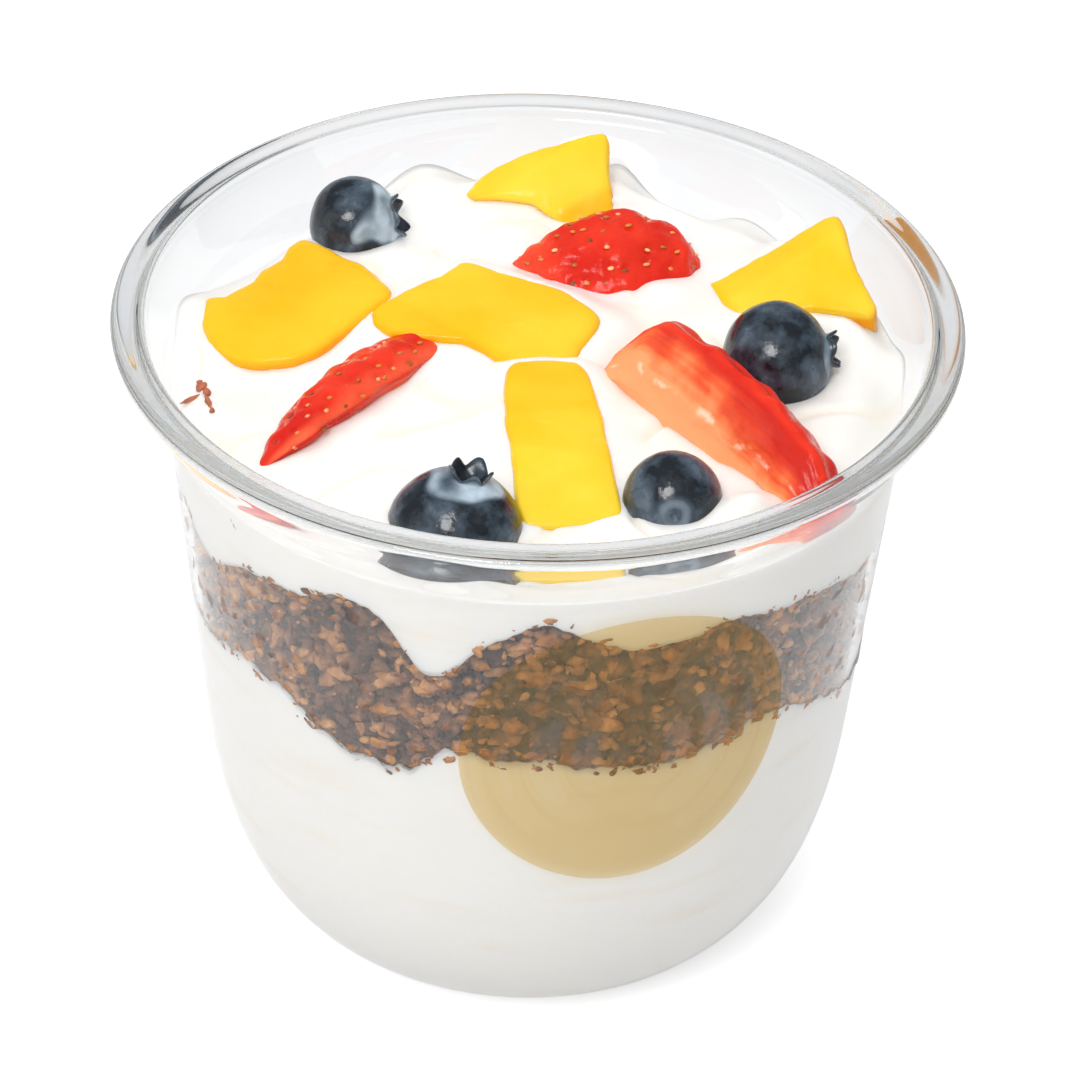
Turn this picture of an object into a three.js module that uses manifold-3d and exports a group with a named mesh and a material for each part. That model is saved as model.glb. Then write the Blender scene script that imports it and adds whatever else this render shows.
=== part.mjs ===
// Yogurt parfait in a clear flared cup: two yogurt layers with a craggy chocolate granola layer between
// them, topped with mango chunks, cut strawberries and whole blueberries.
// Millimetres, +Z up. The origin is the centre of the cup's foot, on the cup's axis. The front is -Y.
import * as THREE from "three";
import { mergeVertices } from "three/addons/utils/BufferGeometryUtils.js";
import Module from "manifold-3d";

const wasm = await Module();
wasm.setup();

// ---------------------------------------------------------------------------------------------
// Driving dimensions
// ---------------------------------------------------------------------------------------------
const CUP_HEIGHT = 81;
const LIP_RADIUS = 49;
const LIP_INNER_RADIUS = 45;
const NECK_HEIGHT = 68.5;
const NECK_RADIUS = 42.7;
const WALL = 1.0;
const WALL_FOOT_HEIGHT = 27;
const WALL_FOOT_RADIUS = 38.6;
const FOOT_RADIUS = 23;
const BELLY_RADIUS = 32.6; // the corner that the round foot curves inside of
const BELLY_HEIGHT = 0.9;
const FOOT_RECESS_RADIUS = 18;
const FOOT_RECESS_DEPTH = 0.6;
const FLOOR_THICKNESS = 1.8;
// The two corners, as [radius, height], that each face of the flare curves by between the neck and the lip.
const OUTER_FLARE = [[NECK_RADIUS, 71.2], [45.2, 73.6]];
const INNER_FLARE = [[NECK_RADIUS - WALL, 72], [44.4, 75]];
const LIP_DEPTH = 2; // from its top to where the flare meets it outside
const LIP_UNDERCUT = 0.2; // how much narrower it is there
const LIP_ROUND_HEIGHT = 1.4; // of its rounded outer corner
const LIP_ROUND_WIDTH = 2;
const LIP_ROUND_PULL = 0.3; // share of the corner's size that its curve stays clear of the corner by
const LIP_BEAD = 0.8; // width of the sloping inner corner
const LIP_BEAD_DROP = 0.2;
const LIP_INNER_DROP = 1; // from its top to where the flare meets it inside
const SIDES = 48; // flat sides round the cup and round each layer

const GAP = 0.3; // clearance between neighbouring pieces
const GRANOLA_BASE_LEVEL = 45; // mean height of the lower face of the granola
const GRANOLA_TOP_LEVEL = 63; // mean height of its upper face
const YOGURT_LEVEL = 71.2; // where the upper yogurt meets the wall
const YOGURT_DOME = 2.5; // how much higher it stands inside
const YOGURT_RIPPLE = 0.5;
const DOME_RADIUS = 36.5; // the dome falls away from here to the wall
const MOUND_RADIUS = 38.5; // the mounds fade from here to the wall
const TOP_EDGE_RADIUS = 42.3; // where both are gone
const LINE_RADIUS = 41.5; // where the yogurt's line on the wall is read
const GRANOLA_CRAG = 1.3; // depth of the crags round the granola's edge
const GRANOLA_RAGGED = 0.9; // how far its upper and lower edges wander from one flake to the next

const LABEL_RADIUS = 19.8;
const LABEL_AZIMUTH = 17.5; // degrees round from the front, towards +X
const LABEL_HEIGHT = 48;
const LABEL_THICKNESS = 0.25;
const LABEL_GAP = 0.15; // clears the flat sides of the cup

const TOPPING_GAP = 0.4; // clearance round each piece of fruit
const TOPPING_ROOM = 15; // height above the cup that the fruit may use

const radians = THREE.MathUtils.degToRad;

// ---------------------------------------------------------------------------------------------
// Tools
// ---------------------------------------------------------------------------------------------

// A repeatable source of numbers from 0 to 1.
function seededRandom(seed) {
  let state = seed;
  return () => {
    state = (state * 1664525 + 1013904223) % 4294967296;
    return state / 4294967296;
  };
}

// The distance between two points of a list of coordinates.
function apart(positions, i, j) {
  const from = new THREE.Vector3().fromArray(positions, 3 * i);
  return from.distanceTo(new THREE.Vector3().fromArray(positions, 3 * j));
}

// A closed surface through a stack of rings. Each ring is a list of as many points as the others, and
// the first and last rings are single points, the two poles. A four-sided cell is split along its
// shorter diagonal, so that two faces of the same form at a small distance never cross.
function ringSolid(rings) {
  const positions = [];
  const starts = [];
  for (const ring of rings) {
    starts.push(positions.length / 3);
    for (const point of ring) positions.push(point.x, point.y, point.z);
  }
  const index = [];
  for (let k = 0; k + 1 < rings.length; k++) {
    const low = rings[k];
    const high = rings[k + 1];
    const count = Math.max(low.length, high.length);
    for (let j = 0; j < count; j++) {
      const next = (j + 1) % count;
      const a = starts[k] + (low.length === 1 ? 0 : j);
      const b = starts[k] + (low.length === 1 ? 0 : next);
      const c = starts[k + 1] + (high.length === 1 ? 0 : next);
      const d = starts[k + 1] + (high.length === 1 ? 0 : j);
      if (a === b) index.push(a, c, d);
      else if (c === d) index.push(a, b, c);
      else if (apart(positions, a, c) <= apart(positions, b, d)) index.push(a, b, c, a, c, d);
      else index.push(a, b, d, b, c, d);
    }
  }
  const geometry = new THREE.BufferGeometry();
  geometry.setAttribute("position", new THREE.Float32BufferAttribute(positions, 3));
  geometry.setIndex(signedVolume(positions, index) < 0 ? index.reverse() : index);
  return geometry;
}

function signedVolume(positions, index) {
  const corner = (i) => new THREE.Vector3().fromArray(positions, 3 * i);
  let volume = 0;
  for (let i = 0; i < index.length; i += 3) {
    const b = corner(index[i + 1]);
    volume += corner(index[i]).dot(b.cross(corner(index[i + 2]))) / 6;
  }
  return volume;
}

// The shape pushed outwards by a distance along its vertex normals.
function grown(geometry, distance) {
  const made = geometry.clone();
  made.computeVertexNormals();
  const at = made.getAttribute("position");
  const normal = made.getAttribute("normal");
  for (let i = 0; i < at.count; i++) {
    const x = at.getX(i) + normal.getX(i) * distance;
    const y = at.getY(i) + normal.getY(i) * distance;
    at.setXYZ(i, x, y, at.getZ(i) + normal.getZ(i) * distance);
  }
  made.deleteAttribute("normal");
  return made;
}

function toSolid(geometry) {
  const bare = geometry.clone();
  bare.deleteAttribute("normal");
  bare.deleteAttribute("uv");
  const merged = mergeVertices(bare, 1e-4);
  return new wasm.Manifold(
    new wasm.Mesh({
      numProp: 3,
      vertProperties: merged.getAttribute("position").array,
      triVerts: new Uint32Array(merged.index.array),
    }),
  );
}

function toGeometry(solid) {
  const mesh = solid.getMesh();
  const geometry = new THREE.BufferGeometry();
  geometry.setAttribute("position", new THREE.Float32BufferAttribute(mesh.vertProperties, 3));
  geometry.setIndex(Array.from(mesh.triVerts));
  return geometry;
}

// The largest of the separate lumps of a solid, without the slivers that a cut leaves.
function largestLump(solid) {
  const lumps = solid.decompose();
  return lumps.reduce((best, lump) => (lump.volume() > best.volume() ? lump : best));
}

function without(geometry, cutters) {
  let solid = toSolid(geometry);
  for (const cutter of cutters) solid = solid.subtract(toSolid(cutter));
  return toGeometry(largestLump(solid));
}

// ---------------------------------------------------------------------------------------------
// Cup
// ---------------------------------------------------------------------------------------------

const LEAN = (NECK_RADIUS - WALL_FOOT_RADIUS) / (NECK_HEIGHT - WALL_FOOT_HEIGHT); // of the straight wall
const LIP_INNER_HEIGHT = CUP_HEIGHT - LIP_INNER_DROP;
const FOOT_REACH = 14; // length of the tangent that the round foot leaves the straight wall along

// The side of the cup from the foot to the neck, as a path of (radius, height) points. The inner face
// is the same path moved in by the wall and up by the floor.
function sidePath(inset, floor) {
  const path = new THREE.Path();
  path.moveTo(FOOT_RADIUS, floor);
  path.bezierCurveTo(
    BELLY_RADIUS - inset,
    BELLY_HEIGHT + floor,
    WALL_FOOT_RADIUS - inset - FOOT_REACH * LEAN,
    WALL_FOOT_HEIGHT - FOOT_REACH,
    WALL_FOOT_RADIUS - inset,
    WALL_FOOT_HEIGHT,
  );
  path.lineTo(NECK_RADIUS - inset, NECK_HEIGHT);
  return path;
}

function outerPath() {
  const path = sidePath(0, 0);
  path.bezierCurveTo(...OUTER_FLARE.flat(), LIP_RADIUS - LIP_UNDERCUT, CUP_HEIGHT - LIP_DEPTH);
  path.lineTo(LIP_RADIUS, CUP_HEIGHT - LIP_ROUND_HEIGHT);
  path.bezierCurveTo(
    LIP_RADIUS,
    CUP_HEIGHT - LIP_ROUND_HEIGHT * LIP_ROUND_PULL,
    LIP_RADIUS - LIP_ROUND_WIDTH * LIP_ROUND_PULL,
    CUP_HEIGHT,
    LIP_RADIUS - LIP_ROUND_WIDTH,
    CUP_HEIGHT,
  );
  path.lineTo(LIP_INNER_RADIUS + LIP_BEAD, CUP_HEIGHT - LIP_BEAD_DROP);
  path.lineTo(LIP_INNER_RADIUS, LIP_INNER_HEIGHT);
  return path;
}

function innerPath() {
  const path = sidePath(WALL, FLOOR_THICKNESS);
  return path.bezierCurveTo(...INNER_FLARE.flat(), LIP_INNER_RADIUS, LIP_INNER_HEIGHT);
}

const CURVE_STEPS = 5;
const innerFace = innerPath().getPoints(CURVE_STEPS);

function cupProfile() {
  const foot = [
    new THREE.Vector2(0, FOOT_RECESS_DEPTH),
    new THREE.Vector2(FOOT_RECESS_RADIUS - 1, FOOT_RECESS_DEPTH),
    new THREE.Vector2(FOOT_RECESS_RADIUS, 0),
  ];
  const inwards = [...innerFace].reverse().slice(1);
  return [...foot, ...outerPath().getPoints(CURVE_STEPS), ...inwards, new THREE.Vector2(0, FLOOR_THICKNESS), foot[0]];
}

// LatheGeometry turns about Y, so the cup is stood up, with one of its edges to the front.
function lathe(profile) {
  const geometry = new THREE.LatheGeometry(profile, SIDES);
  return geometry.rotateX(Math.PI / 2);
}

// The radius of the cup's inner face at a height.
function innerRadius(height) {
  const above = innerFace.findIndex((p) => p.y >= height);
  if (above < 0) return LIP_INNER_RADIUS;
  if (above === 0) return innerFace[0].x;
  const low = innerFace[above - 1];
  const high = innerFace[above];
  return THREE.MathUtils.mapLinear(height, low.y, high.y, low.x, high.x);
}

// The room inside the cup, for trimming what leans on the wall.
function cupRoom() {
  const wall = innerFace.map((p) => new THREE.Vector2(p.x - 2 * GAP, p.y));
  const top = CUP_HEIGHT + TOPPING_ROOM;
  return lathe([
    new THREE.Vector2(0, FLOOR_THICKNESS + GAP),
    ...wall,
    new THREE.Vector2(LIP_INNER_RADIUS - 2 * GAP, top),
    new THREE.Vector2(0, top),
  ]);
}

// ---------------------------------------------------------------------------------------------
// Layers. Azimuth is in degrees from the front (-Y), towards +X.
// ---------------------------------------------------------------------------------------------

// [azimuth, half width in degrees, height]: how the edges of the granola rise and dip round the cup.
const GRANOLA_TOP_WAVES = [
  [-62, 8, -3.7],
  [-25, 15, 3.6],
  [-15, 6, -6.8],
  [3, 8, 4.3],
  [32, 5, 1.6],
  [72, 19, -4.5],
  [115, 18, 2.0],
  [150, 13, -3.0],
  [192, 18, 2.4],
  [232, 11, -3.6],
  [265, 16, 1.0],
];
const GRANOLA_BASE_WAVES = [
  [-50, 14, 3.8],
  [-25, 12, -2.0],
  [-13, 4.5, 2.4],
  [14, 11, -2.0],
  [48, 8, 1.4],
  [74, 16, -6.0],
  [112, 14, 2.0],
  [160, 16, -2.4],
  [205, 10, 2.4],
  [246, 14, -1.6],
  [282, 10, 1.0],
];
// [x, y, spread, height]: the mounds and hollows that the spoon left in the top of the yogurt.
const YOGURT_MOUNDS = [
  [-13, 33, 6.5, 2.8],
  [-1, 29, 5, 2.0],
  [-11, -12, 7, 1.0],
  [15, 31, 6, 1.0],
  [14, 10, 5, 0.8],
  [28, -29, 4, 1.6],
  [-33, -6, 7, -0.6],
  [-33, 16, 7, -1.0],
  [-9, -40, 4, 1.6],
  [35, 8, 6, -0.8],
];

function waveHeight(waves, azimuth) {
  return waves.reduce((sum, [centre, width, height]) => {
    const away = THREE.MathUtils.euclideanModulo(azimuth - centre + 180, 360) - 180;
    return sum + height * Math.exp(-((away / width) ** 2));
  }, 0);
}

const SEGMENT = 360 / SIDES;
const ragged = (seed, size) => {
  const random = seededRandom(seed);
  return Array.from({ length: SIDES }, () => (random() - 0.5) * 2 * size);
};
const granolaBaseRagged = ragged(11, GRANOLA_RAGGED);
const granolaTopRagged = ragged(23, GRANOLA_RAGGED);

const FACE_RADII = [15, 30, 37]; // rings of a layer's upper and lower faces, inside its edge
const EDGE_RADIUS = 40; // the edge itself, just inside the wall

// How much of the edge's wave is felt at a radius: all of it from the last ring of a face outwards.
const edgeShare = (radius) => THREE.MathUtils.smoothstep(radius, 20, FACE_RADII[2]);

function granolaBase(radius, segment) {
  const wave = waveHeight(GRANOLA_BASE_WAVES, segment * SEGMENT) + granolaBaseRagged[segment];
  return GRANOLA_BASE_LEVEL + wave * edgeShare(radius);
}
function granolaTop(radius, segment) {
  const wave = waveHeight(GRANOLA_TOP_WAVES, segment * SEGMENT) + granolaTopRagged[segment];
  return GRANOLA_TOP_LEVEL + wave * edgeShare(radius);
}

function yogurtTop(x, y) {
  const radius = Math.hypot(x, y);
  const calm = 1 - THREE.MathUtils.smoothstep(radius, MOUND_RADIUS, TOP_EDGE_RADIUS);
  const dome = YOGURT_DOME * (1 - THREE.MathUtils.smoothstep(radius, DOME_RADIUS, TOP_EDGE_RADIUS));
  const mounds = YOGURT_MOUNDS.reduce((sum, [mx, my, spread, height]) => {
    return sum + height * Math.exp(-((x - mx) ** 2 + (y - my) ** 2) / (2 * spread ** 2));
  }, 0);
  const ripple = YOGURT_RIPPLE * Math.sin(3 * Math.atan2(x, -y) + 0.7);
  return YOGURT_LEVEL + ripple + dome + mounds * calm;
}

function polar(radius, segment, height) {
  const angle = radians(segment * SEGMENT);
  return new THREE.Vector3(radius * Math.sin(angle), -radius * Math.cos(angle), height);
}

const segments = Array.from({ length: SIDES }, (_, i) => i);

// A ring of a face at a radius, or at the wall where no radius is given.
function faceRing(radius, heightAt, lift) {
  return segments.map((segment) => {
    const height = heightAt(radius ?? EDGE_RADIUS, segment) + lift;
    return polar(radius ?? innerRadius(height) - GAP, segment, height);
  });
}

function lowerYogurt() {
  const floor = FLOOR_THICKNESS + GAP;
  const rings = [[new THREE.Vector3(0, 0, floor)]];
  for (const { x, y } of innerFace.filter((p) => p.y <= WALL_FOOT_HEIGHT)) {
    rings.push(segments.map((segment) => polar(x - GAP, segment, y + GAP)));
  }
  rings.push(faceRing(null, granolaBase, 0));
  for (const radius of [...FACE_RADII].reverse()) rings.push(faceRing(radius, granolaBase, 0));
  rings.push([new THREE.Vector3(0, 0, GRANOLA_BASE_LEVEL)]);
  return ringSolid(rings);
}

const CRAG_ROWS = 6; // rows of crags up the granola's side
const CRAG_SHIFT = 0.045; // share of the side's height that a crag may stand off its row

function granola() {
  const random = seededRandom(5);
  const rings = [[new THREE.Vector3(0, 0, GRANOLA_BASE_LEVEL + GAP)]];
  for (const radius of FACE_RADII) rings.push(faceRing(radius, granolaBase, GAP));
  for (let row = 0; row <= CRAG_ROWS; row++) {
    rings.push(
      segments.map((segment) => {
        const low = granolaBase(EDGE_RADIUS, segment) + GAP;
        const high = granolaTop(EDGE_RADIUS, segment);
        const loose = row > 0 && row < CRAG_ROWS ? 1 : 0;
        const shift = loose * (2 * random() - 1) * CRAG_SHIFT;
        const height = THREE.MathUtils.lerp(low, high, row / CRAG_ROWS + shift);
        return polar(innerRadius(height) - GAP - loose * GRANOLA_CRAG * random(), segment, height);
      }),
    );
  }
  for (const radius of [...FACE_RADII].reverse()) rings.push(faceRing(radius, granolaTop, 0));
  rings.push([new THREE.Vector3(0, 0, GRANOLA_TOP_LEVEL)]);
  return ringSolid(rings);
}

const TOP_RADII = [40.3, 37.8, 33.5, 28, 22, 15, 7.5]; // rings of the yogurt's top

function upperYogurt(hollows) {
  const rings = [[new THREE.Vector3(0, 0, GRANOLA_TOP_LEVEL + GAP)]];
  for (const radius of [...FACE_RADII, null]) rings.push(faceRing(radius, granolaTop, GAP));
  for (const share of [0.5, 1]) {
    rings.push(
      segments.map((segment) => {
        const edge = polar(LINE_RADIUS, segment, 0);
        const low = granolaTop(EDGE_RADIUS, segment) + GAP;
        const height = THREE.MathUtils.lerp(low, yogurtTop(edge.x, edge.y), share);
        return polar(innerRadius(height) - GAP, segment, height);
      }),
    );
  }
  for (const radius of TOP_RADII) {
    rings.push(
      segments.map((segment) => {
        const at = polar(radius, segment, 0);
        return at.setZ(yogurtTop(at.x, at.y));
      }),
    );
  }
  rings.push([new THREE.Vector3(0, 0, yogurtTop(0, 0))]);
  return without(ringSolid(rings), hollows);
}

// ---------------------------------------------------------------------------------------------
// Label: a thin round film, bent round the outside of the wall
// ---------------------------------------------------------------------------------------------
function label() {
  const AROUND = 32;
  // The point of the film at an offset from the wall and at a distance and a bearing from its middle.
  const bent = (offset, reach, bearing) => {
    const height = LABEL_HEIGHT + reach * Math.sin(bearing);
    const radius = WALL_FOOT_RADIUS + LEAN * (height - WALL_FOOT_HEIGHT) + offset;
    const azimuth = radians(LABEL_AZIMUTH) + (reach * Math.cos(bearing)) / radius;
    return new THREE.Vector3(radius * Math.sin(azimuth), -radius * Math.cos(azimuth), height);
  };
  const ring = (offset, share) =>
    Array.from({ length: AROUND }, (_, j) => bent(offset, share * LABEL_RADIUS, (j / AROUND) * 2 * Math.PI));
  const near = LABEL_GAP;
  const far = LABEL_GAP + LABEL_THICKNESS;
  const shares = [0.33, 0.67, 1];
  return ringSolid([
    [bent(near, 0, 0)],
    ...shares.map((share) => ring(near, share)),
    ...[...shares].reverse().map((share) => ring(far, share)),
    [bent(far, 0, 0)],
  ]);
}

// ---------------------------------------------------------------------------------------------
// Fruit
// ---------------------------------------------------------------------------------------------

// The frame of a piece: its face looks along a normal that leans by some degrees towards an azimuth
// counted from +X, and its first direction is +X laid into that face.
function leaningFrame(centre, leanTowards, lean) {
  const away = radians(leanTowards);
  const tilt = radians(lean);
  const across = Math.sin(tilt);
  const normal = new THREE.Vector3(across * Math.cos(away), across * Math.sin(away), Math.cos(tilt));
  const first = new THREE.Vector3(1, 0, 0).projectOnPlane(normal).normalize();
  const second = new THREE.Vector3().crossVectors(normal, first);
  return new THREE.Matrix4().makeBasis(first, second, normal).setPosition(...centre);
}

// A mango chunk's upper face and rounded edge: [share of the outline, depth under the face].
const MANGO_FACE = [[0.5, -0.4], [0.86, 0], [0.97, 0.5], [1, 1.3]];
const MANGO_FACE_CROWN = 0.5;
const MANGO_EDGE_POINTS = 20;

// A mango chunk: a rounded outline in the frame of its upper face, with soft edges, narrowing downwards.
function mangoChunk({ centre, leanTowards, lean, outline, thickness }) {
  const corners = outline.map(([x, y]) => new THREE.Vector3(x, y, 0));
  const curve = new THREE.CatmullRomCurve3(corners, true, "catmullrom", 0.2);
  const edge = curve.getSpacedPoints(MANGO_EDGE_POINTS).slice(0, -1);
  const middle = edge.reduce((sum, p) => sum.add(p), new THREE.Vector3()).divideScalar(edge.length);
  const section = [...MANGO_FACE, [0.95, thickness - 1], [0.84, thickness]];
  const ring = ([share, depth]) =>
    edge.map((p) => p.clone().sub(middle).multiplyScalar(share).add(middle).setZ(-depth));
  const rings = [
    [middle.clone().setZ(MANGO_FACE_CROWN)],
    ...section.map(ring),
    [middle.clone().setZ(-thickness)],
  ];
  return ringSolid(rings).applyMatrix4(leaningFrame(centre, leanTowards, lean));
}

const MANGO_CHUNKS = {
  mango_left: {
    centre: [-29.0, 9.4, 75.2],
    leanTowards: 200,
    lean: 8,
    thickness: 6,
    outline: [[-10.4, 1.8], [-6.2, 3.7], [-4.2, 7.2], [-0.6, 12.2], [1.1, 12.8], [8.2, 7.0], [11.2, 1.0],
      [6.3, -6.5], [0.6, -11.3], [-5.6, -11.2], [-9.2, -7.2], [-10.4, -2.6]],
  },
  mango_centre: {
    centre: [-6.0, 5.6, 76.9],
    leanTowards: 250,
    lean: 5,
    thickness: 5.5,
    outline: [[-13.1, 0.6], [-6.0, 7.7], [-2.6, 10.3], [8.9, 4.9], [12.9, -0.6], [10.4, -8.9], [3.4, -9.7],
      [-2.6, -5.0], [-11.4, -3.4]],
  },
  mango_front: {
    centre: [2.9, -18.1, 75.7],
    leanTowards: 270,
    lean: 8,
    thickness: 6,
    outline: [[-5.9, 11.6], [1.6, 12.1], [4.5, 4.6], [7.2, -10.6], [6.0, -13.2], [-3.6, -13.4], [-5.6, -1.0],
      [-6.3, 5.2]],
  },
  mango_back: {
    centre: [0.8, 35.2, 77.5],
    leanTowards: 255,
    lean: 35,
    thickness: 5.5,
    outline: [[-10.1, -1.6], [-3.5, 3.4], [6.1, 5.4], [7.0, 0.0], [7.6, -5.6], [6.4, -8.6], [3.0, -8.0],
      [-1.6, -4.2], [-6.0, -3.6]],
  },
  mango_right: {
    centre: [31.0, 16.6, 77.4],
    leanTowards: 235,
    lean: 22,
    thickness: 5.5,
    outline: [[-11.9, -1.0], [-6.5, 2.2], [3.2, 7.6], [5.5, 2.4], [8.3, -6.6], [1.1, -6.3], [-8.8, -5.9],
      [-12.2, -3.6]],
  },
};

// The stations along a strawberry piece where its section is drawn, as shares of its length.
const BERRY_STATIONS = [0.015, 0.06, 0.14, 0.25, 0.38, 0.52, 0.66, 0.79, 0.89, 0.96, 0.99];
const SKIN_STEPS = 8;
const CUT_SHARES = [0.9, 0.5, 0.12]; // points of a cut face, as shares of the way from the core
const CUT_SET_IN = 0.04; // how far the cut faces stand in from a flat cut, as a share of the half width

// The half width of a piece at a share of its length, from its [share, half width] rows.
function widthAt(widths, share) {
  const above = widths.findIndex(([at]) => at >= share);
  const [low, narrow] = widths[above - 1];
  const [high, wide] = widths[above];
  return THREE.MathUtils.mapLinear(share, low, high, narrow, wide);
}

// A cut strawberry lying along its own axis from the stem end to the tip. Its section is a wedge of the
// round berry with softened corners: half the berry where spread is 90 degrees, a quarter at 45. The
// wedge's skin faces the facing direction, and its core lies along the axis, sunk under it by sink.
// tall is the height of the section for its width.
function strawberryPiece({ stem, tip, facing, spread, sink, tall, widths }) {
  const start = new THREE.Vector3(...stem);
  const along = new THREE.Vector3(...tip).sub(start);
  const length = along.length();
  along.normalize();
  const skinward = new THREE.Vector3(...facing).projectOnPlane(along).normalize();
  const sideways = new THREE.Vector3().crossVectors(along, skinward);
  const half = radians(spread);
  const place = (share, u, v) =>
    start
      .clone()
      .addScaledVector(along, share * length)
      .addScaledVector(skinward, u - sink)
      .addScaledVector(sideways, v);
  const section = (share) => {
    const radius = widthAt(widths, share);
    const skin = Array.from({ length: SKIN_STEPS + 1 }, (_, i) => {
      const angle = half * ((2 * i) / SKIN_STEPS - 1);
      return [radius * tall * Math.cos(angle), radius * Math.sin(angle)];
    });
    const [edgeU, edgeV] = skin[SKIN_STEPS];
    const cut = CUT_SHARES.map((part) => [edgeU * part - CUT_SET_IN * radius, edgeV * part]);
    const otherCut = [...cut].reverse().map(([u, v]) => [u, -v]);
    return [...skin, ...cut, ...otherCut];
  };
  const ring = (share) => section(share).map(([u, v]) => place(share, u, v));
  const meanU = (share) => section(share).reduce((sum, [u]) => sum + u, 0) / section(share).length;
  const pole = (share, nearest) => [place(share, meanU(nearest), 0)];
  return ringSolid([pole(0, BERRY_STATIONS[0]), ...BERRY_STATIONS.map(ring), pole(1, BERRY_STATIONS.at(-1))]);
}

const STRAWBERRY_PIECES = {
  strawberry_left: {
    stem: [-9.4, 8.6, 71.0],
    tip: [-31.2, -22.1, 73.3],
    facing: [-0.42, 0.2, 0.88],
    spread: 62,
    sink: 0.8,
    tall: 1,
    widths: [[0, 3.0], [0.12, 5.0], [0.28, 5.8], [0.46, 5.9], [0.66, 5.1], [0.83, 3.2], [0.95, 1.4], [1, 0.3]],
  },
  strawberry_back: {
    stem: [-3.6, 19.9, 73.8],
    tip: [19.0, 21.7, 74.0],
    facing: [0, -0.5, 0.87],
    spread: 90,
    sink: 0,
    tall: 0.62,
    widths: [[0, 0.5], [0.1, 2.6], [0.25, 5.0], [0.42, 7.0], [0.6, 7.4], [0.8, 6.0], [0.92, 4.0], [1, 0.8]],
  },
  strawberry_right: {
    stem: [6.44, -3.45, 72.6],
    tip: [29.0, -28.1, 70.6],
    facing: [0.634, 0.535, 0.558],
    spread: 26,
    sink: 0,
    tall: 1,
    widths: [[0, 0.8], [0.02, 5.2], [0.05, 7.8], [0.09, 10.2], [0.13, 12.0], [0.3, 12.3], [0.45, 12.2],
      [0.65, 11.6], [0.8, 10.6], [0.93, 9.6], [1, 7.5]],
  },
};

// A blueberry: a slightly flattened ball with a five-lobed crown round a shallow dimple.
function blueberry({ centre, radius, crown }) {
  const AROUND = 15;
  const LOBES = 5;
  // [radius, height, lobe height] as shares of the berry's radius, from the bottom up into the dimple.
  const profile = [
    [0.5, -0.8, 0],
    [0.88, -0.44, 0],
    [1, 0.04, 0],
    [0.88, 0.46, 0],
    [0.58, 0.76, 0],
    [0.38, 0.84, 0],
    [0.43, 0.95, 0.09],
    [0.3, 0.84, 0.03],
    [0.16, 0.76, 0],
  ];
  const ring = ([across, up, lobe]) =>
    Array.from({ length: AROUND }, (_, j) => {
      const angle = (j / AROUND) * 2 * Math.PI;
      const wave = Math.cos(LOBES * angle);
      const reach = radius * (across + lobe * wave * 0.4);
      return new THREE.Vector3(
        reach * Math.cos(angle),
        reach * Math.sin(angle),
        radius * (up + lobe * wave),
      );
    });
  const pole = (up) => [new THREE.Vector3(0, 0, radius * up)];
  const geometry = ringSolid([pole(-0.93), ...profile.map(ring), pole(0.74)]);
  const turn = new THREE.Quaternion().setFromUnitVectors(
    new THREE.Vector3(0, 0, 1),
    new THREE.Vector3(...crown).normalize(),
  );
  return geometry.applyQuaternion(turn).translate(...centre);
}

const BLUEBERRIES = {
  blueberry_back: { centre: [-22.4, 28.0, 74.3], radius: 5.8, crown: [0.97, 0, 0.25] },
  blueberry_right: { centre: [27.7, 0.9, 74.9], radius: 6.8, crown: [0.97, 0.05, 0.2] },
  blueberry_front: { centre: [-8.4, -31.2, 72.4], radius: 7.5, crown: [0.23, 0.08, 0.97] },
  blueberry_front_right: { centre: [15.6, -25.8, 73.4], radius: 5.6, crown: [-0.03, 0.96, -0.27] },
};

// ---------------------------------------------------------------------------------------------
// Assembly
// ---------------------------------------------------------------------------------------------
const finish = (color, roughness, extra = {}) =>
  new THREE.MeshStandardMaterial({ color, roughness, metalness: 0, ...extra });
const CLEAR = finish(0xf4f6f7, 0.05, { transparent: true, opacity: 0.3 });
const GOLD_FILM = finish(0xd9c48c, 0.25, { transparent: true, opacity: 0.7 });
const YOGURT = finish(0xfaf8f2, 0.4);
const GRANOLA = finish(0x7a5040, 0.8);
const MANGO = finish(0xffcc22, 0.3);
const STRAWBERRY = finish(0xe03424, 0.3);
const BLUEBERRY = finish(0x2c3846, 0.5);

const room = toSolid(cupRoom());
const inRoom = (geometry) => toGeometry(largestLump(toSolid(geometry).intersect(room)));

const toppings = [];
function addToppings(sizes, shape, material) {
  for (const [name, size] of Object.entries(sizes)) {
    const whole = shape(size);
    const piece = without(inRoom(whole), toppings.map((other) => other.hollow));
    toppings.push({ name, piece, material, hollow: grown(whole, TOPPING_GAP) });
  }
}
addToppings(BLUEBERRIES, blueberry, BLUEBERRY);
addToppings(STRAWBERRY_PIECES, strawberryPiece, STRAWBERRY);
addToppings(MANGO_CHUNKS, mangoChunk, MANGO);

const parfait = new THREE.Group();
function addPiece(name, geometry, material) {
  const mesh = new THREE.Mesh(geometry, material);
  mesh.name = name;
  parfait.add(mesh);
}
addPiece("cup", lathe(cupProfile()), CLEAR);
addPiece("label", label(), GOLD_FILM);
addPiece("yogurt_lower", lowerYogurt(), YOGURT);
addPiece("granola", granola(), GRANOLA);
addPiece("yogurt_upper", upperYogurt(toppings.map((topping) => topping.hollow)), YOGURT);
for (const { name, piece, material } of toppings) addPiece(name, piece, material);

export default parfait;
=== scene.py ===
import math

import bpy
import numpy as np
from mathutils import Matrix, Vector


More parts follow.
